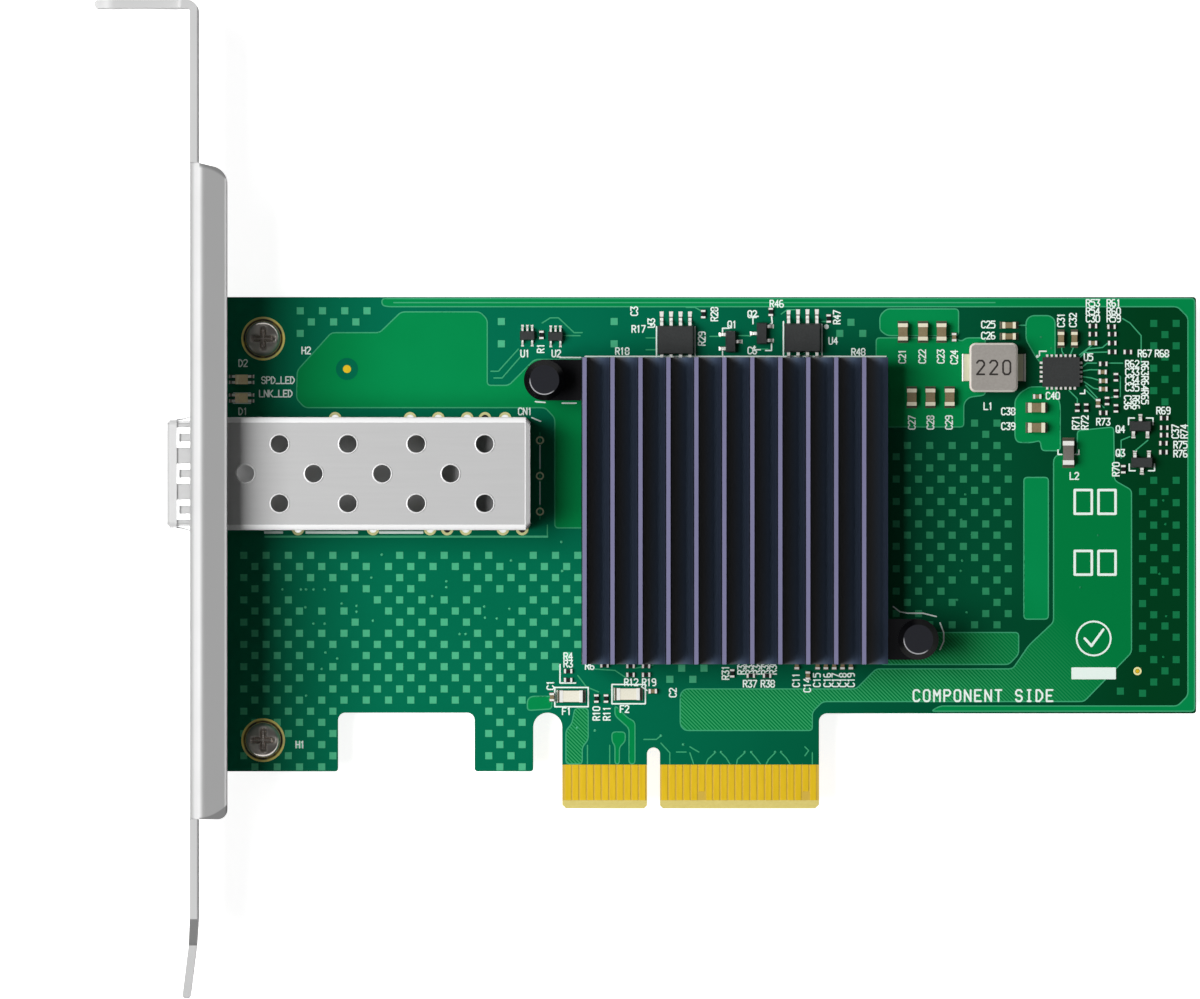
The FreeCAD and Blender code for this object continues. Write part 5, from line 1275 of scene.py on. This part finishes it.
@dataclass
class PortCage:
    """Pads and rims that belong to the module cage, and the board's two fiducials."""

    top: float
    vent_radius: float = 1.2
    pad: Pair = (0.5, 0.86)
    small_pad: Pair = (0.34, 0.56)
    sunk: float = 0.02
    back_pads: tuple[Pair, ...] = ((-15.3, 49.6), (-15.3, 44.8), (-15.3, 40.0))
    left_fiducial: Pair = (-41.3, 59.2)
    right_fiducial: Pair = (65.2, 18.5)

    def build(self, finishes: Finishes) -> None:
        """Rolled rims round the vents, pads at the legs, rings behind the cage and fiducials."""
        z, low = self.top, self.top - self.sunk
        corners = corners_of("cage_shell")
        vents = self.vents(corners)
        legs = clusters(corners[corners[:, 2] < -z - 0.3][:, :2])
        LOG.info("%d vents and %d legs found", len(vents), len(legs))
        roof, r = corners[:, 2].max(), self.vent_radius
        rim = [(r - 0.02, roof - 0.05), (r + 0.2, roof - 0.05), (r + 0.2, roof + 0.004),
               (r + 0.06, roof + 0.05), (r - 0.02, roof + 0.03)]
        # The rims take a paler nickel than the roof as a painted highlight.
        add_piece("vent_rims", [ring(x, y, rim, 24) for x, y in vents], finishes["vent_rim_highlight"],
                  smooth=True)
        over, under = washer(*self.pad, low, z + 0.04), washer(*self.pad, -z - 0.04, -low)
        front, back = legs[:, 1].min(), legs[:, 1].max()
        spare = [(-27.8, front), (-17.7, front), (-22.7, back)]
        pads = [ring(x, y, shape) for x, y in legs for shape in (over, under)]
        pads += [ring(x, y, over) for x, y in spare]
        pads.append(ring(*self.right_fiducial, washer(0.3, 0.56, low, z + 0.05)))
        gold = [prism(disc(*self.left_fiducial, 0.54, 20), z, z + 0.06),
                prism(disc(*self.right_fiducial, 0.25), low, z + 0.03)]
        for name, shapes, finish, slot in (
                # Dark discs in the spare holes: painted shade for the open holes.
                ("spare_holes", [prism(disc(x, y, 0.52, 14), low, z + 0.02) for x, y in spare],
                 "dark_ink_and_hole_shade", Slot.LAMINATE),
                ("back_pads", [ring(x, y, washer(*self.small_pad, low, z + 0.05)) for x, y in self.back_pads],
                 "dull_plate", Slot.GOLD),
                ("leg_pads", pads, "pale_plate", Slot.GOLD),
                ("plated_pads", gold, "gold_plate", Slot.GOLD),
                ("fiducial_clearance", [ring(*self.left_fiducial, washer(0.56, 1.5, z, z + 0.045), 28)],
                 "board_mask", Slot.LAMINATE)):
            add_piece(name, shapes, finishes[finish])

    @staticmethod
    def vents(corners: np.ndarray) -> np.ndarray:
        """Middles of the roof's holes: its corners away from the nose, the folds and the back."""
        low, high = corners.min(axis=0), corners.max(axis=0)
        x, y, z = corners.T
        on_roof = (z > high[2] - 0.01) & (np.abs(y - (low[1] + high[1]) / 2) < 5.6)
        return clusters(corners[on_roof & (x > low[0] + 4) & (x < high[0] - 1.5)][:, :2])


@dataclass
class PanHeads:
    """Bracket screws with domed heads and a pressed cross recess, in place of the turned ones."""

    shaft: float = 1.48
    chamfer: float = 0.3
    seat_lift: float = 0.04
    arm_half: float = 0.5
    arm_reach: float = 1.55
    depth: float = 1.05
    rings: int = 44
    sides: int = 96

    def build(self, finishes: Finishes, board_top: float) -> None:
        """Both screws as one piece."""
        shapes = [self.screw(box, board_top + self.seat_lift) for box in solids_of("bracket_screws")]
        piece = add_piece("screws", shapes, finishes["screw_steel"], smooth=True)
        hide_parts("bracket_screws")

    def screw(self, box: np.ndarray, seat: float) -> Shape:
        """One screw as a stack of rings.

        The head's height over the seat at share s of its radius is H * sqrt(1 - s ** 2.3), less the
        recess: its depth times two soft steps, across the arm and along it.

        Args:
            box: the screw's box.
            seat: height of the head's underside.
        """
        (x, y), radius = box.mean(axis=0)[:2], (box[1, 0] - box[0, 0]) / 2
        share = np.sin(np.linspace(0.02, np.pi / 2, self.rings))[:, None]
        angle = np.linspace(0, 2 * np.pi, self.sides, endpoint=False)[None]
        across, along = share * radius * np.sin(angle), share * radius * np.cos(angle)
        arms = np.maximum(self.arm(across, along), self.arm(along, across))
        dome = seat + (box[1, 2] - seat) * np.sqrt(1 - np.clip(share, 0, 1) ** 2.3) - self.depth * arms
        lower = [(radius, seat), (self.shaft, seat), (self.shaft, box[0, 2] + self.chamfer),
                 (self.shaft - self.chamfer, box[0, 2])]
        reach = np.vstack([share * radius + 0 * angle, *[0 * angle + r for r, _ in lower]])
        height = np.vstack([dome, *[0 * angle + z for _, z in lower]])
        places = np.stack([x + reach * np.cos(angle), y + reach * np.sin(angle), height], axis=2)
        return loft(places[::-1])

    def arm(self, across: np.ndarray, along: np.ndarray) -> np.ndarray:
        """Share of the recess's full depth in one arm, whose sides and end slope."""
        side = np.clip(1.15 - 1.15 * np.abs(across) / self.arm_half, 0, 1)
        end = np.clip((self.arm_reach - np.abs(along)) / 0.6 + 0.3, 0, 1)
        return side * end


@dataclass
class Markings:
    """The plain value printed on the inductor."""

    size: float = 1.85
    advance: float = 0.88
    stroke: float = 0.25

    def build(self, finishes: Finishes, print_layer: Silkscreen) -> None:
        """The value as thin strokes on the inductor's top."""
        low, high = (np.array(corner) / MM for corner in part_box("inductor"))
        lines = print_layer.write("2 2 0", *(low + high)[:2] / 2, 0, self.size, self.advance)
        shape = strokes(lines, self.stroke, high[2] - 0.03, high[2] + 0.008)
        add_piece("inductor_mark", [shape], finishes["dark_ink_and_hole_shade"])


# ---- main
def landmarks() -> tuple[tuple, ...]:
    """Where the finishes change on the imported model, in the order that Finishes takes it."""
    sink = corners_of("heatsink")
    x, y, z = sink.T
    tips = z.max()
    level = np.round(z, 2)
    deck = float(np.unique(level)[-2])
    far_side = x[(np.abs(level - deck) < 0.1) & (y > y.mean())]
    fins = (x[z > tips - 0.1].min() - 0.15, far_side.max(), deck, tips)
    (_, front, _), (right, back, roof) = np.array(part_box("cage_shell")) / MM
    (first, _, _), (last, top, _) = np.array(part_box("edge_contacts")) / MM
    places = solids_of("mounting_rings").mean(axis=1)
    rings = (places[0, 0], places[:, 1].mean(), np.ptp(places[:, 1]) / 2)
    heads = tuple(map(tuple, solids_of("push_pins").mean(axis=1)[:, :2].tolist()))
    return fins, (first - 1.5, last + 1.5, top), rings, (front, right, back, roof), heads


def main() -> None:
    """Load the frame, dress its nodes, add what is printed and soldered, then the studio."""
    logging.basicConfig(level=logging.INFO, format="%(name)s: %(message)s")
    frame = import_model()
    bpy.context.scene.view_settings.view_transform = "Standard"
    finishes = Finishes(*landmarks())
    Dressing().apply(frame["nodes"], finishes)
    board_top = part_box("circuit_board")[1][2] / MM
    silkscreen = Silkscreen(board_top)
    for layer in (CopperLayer(board_top), silkscreen, Joints(), PortCage(board_top)):
        layer.build(finishes)
    PanHeads().build(finishes, board_top)
    Markings().build(finishes, silkscreen)
    Studio().build()


if __name__ == "__main__":
    main()
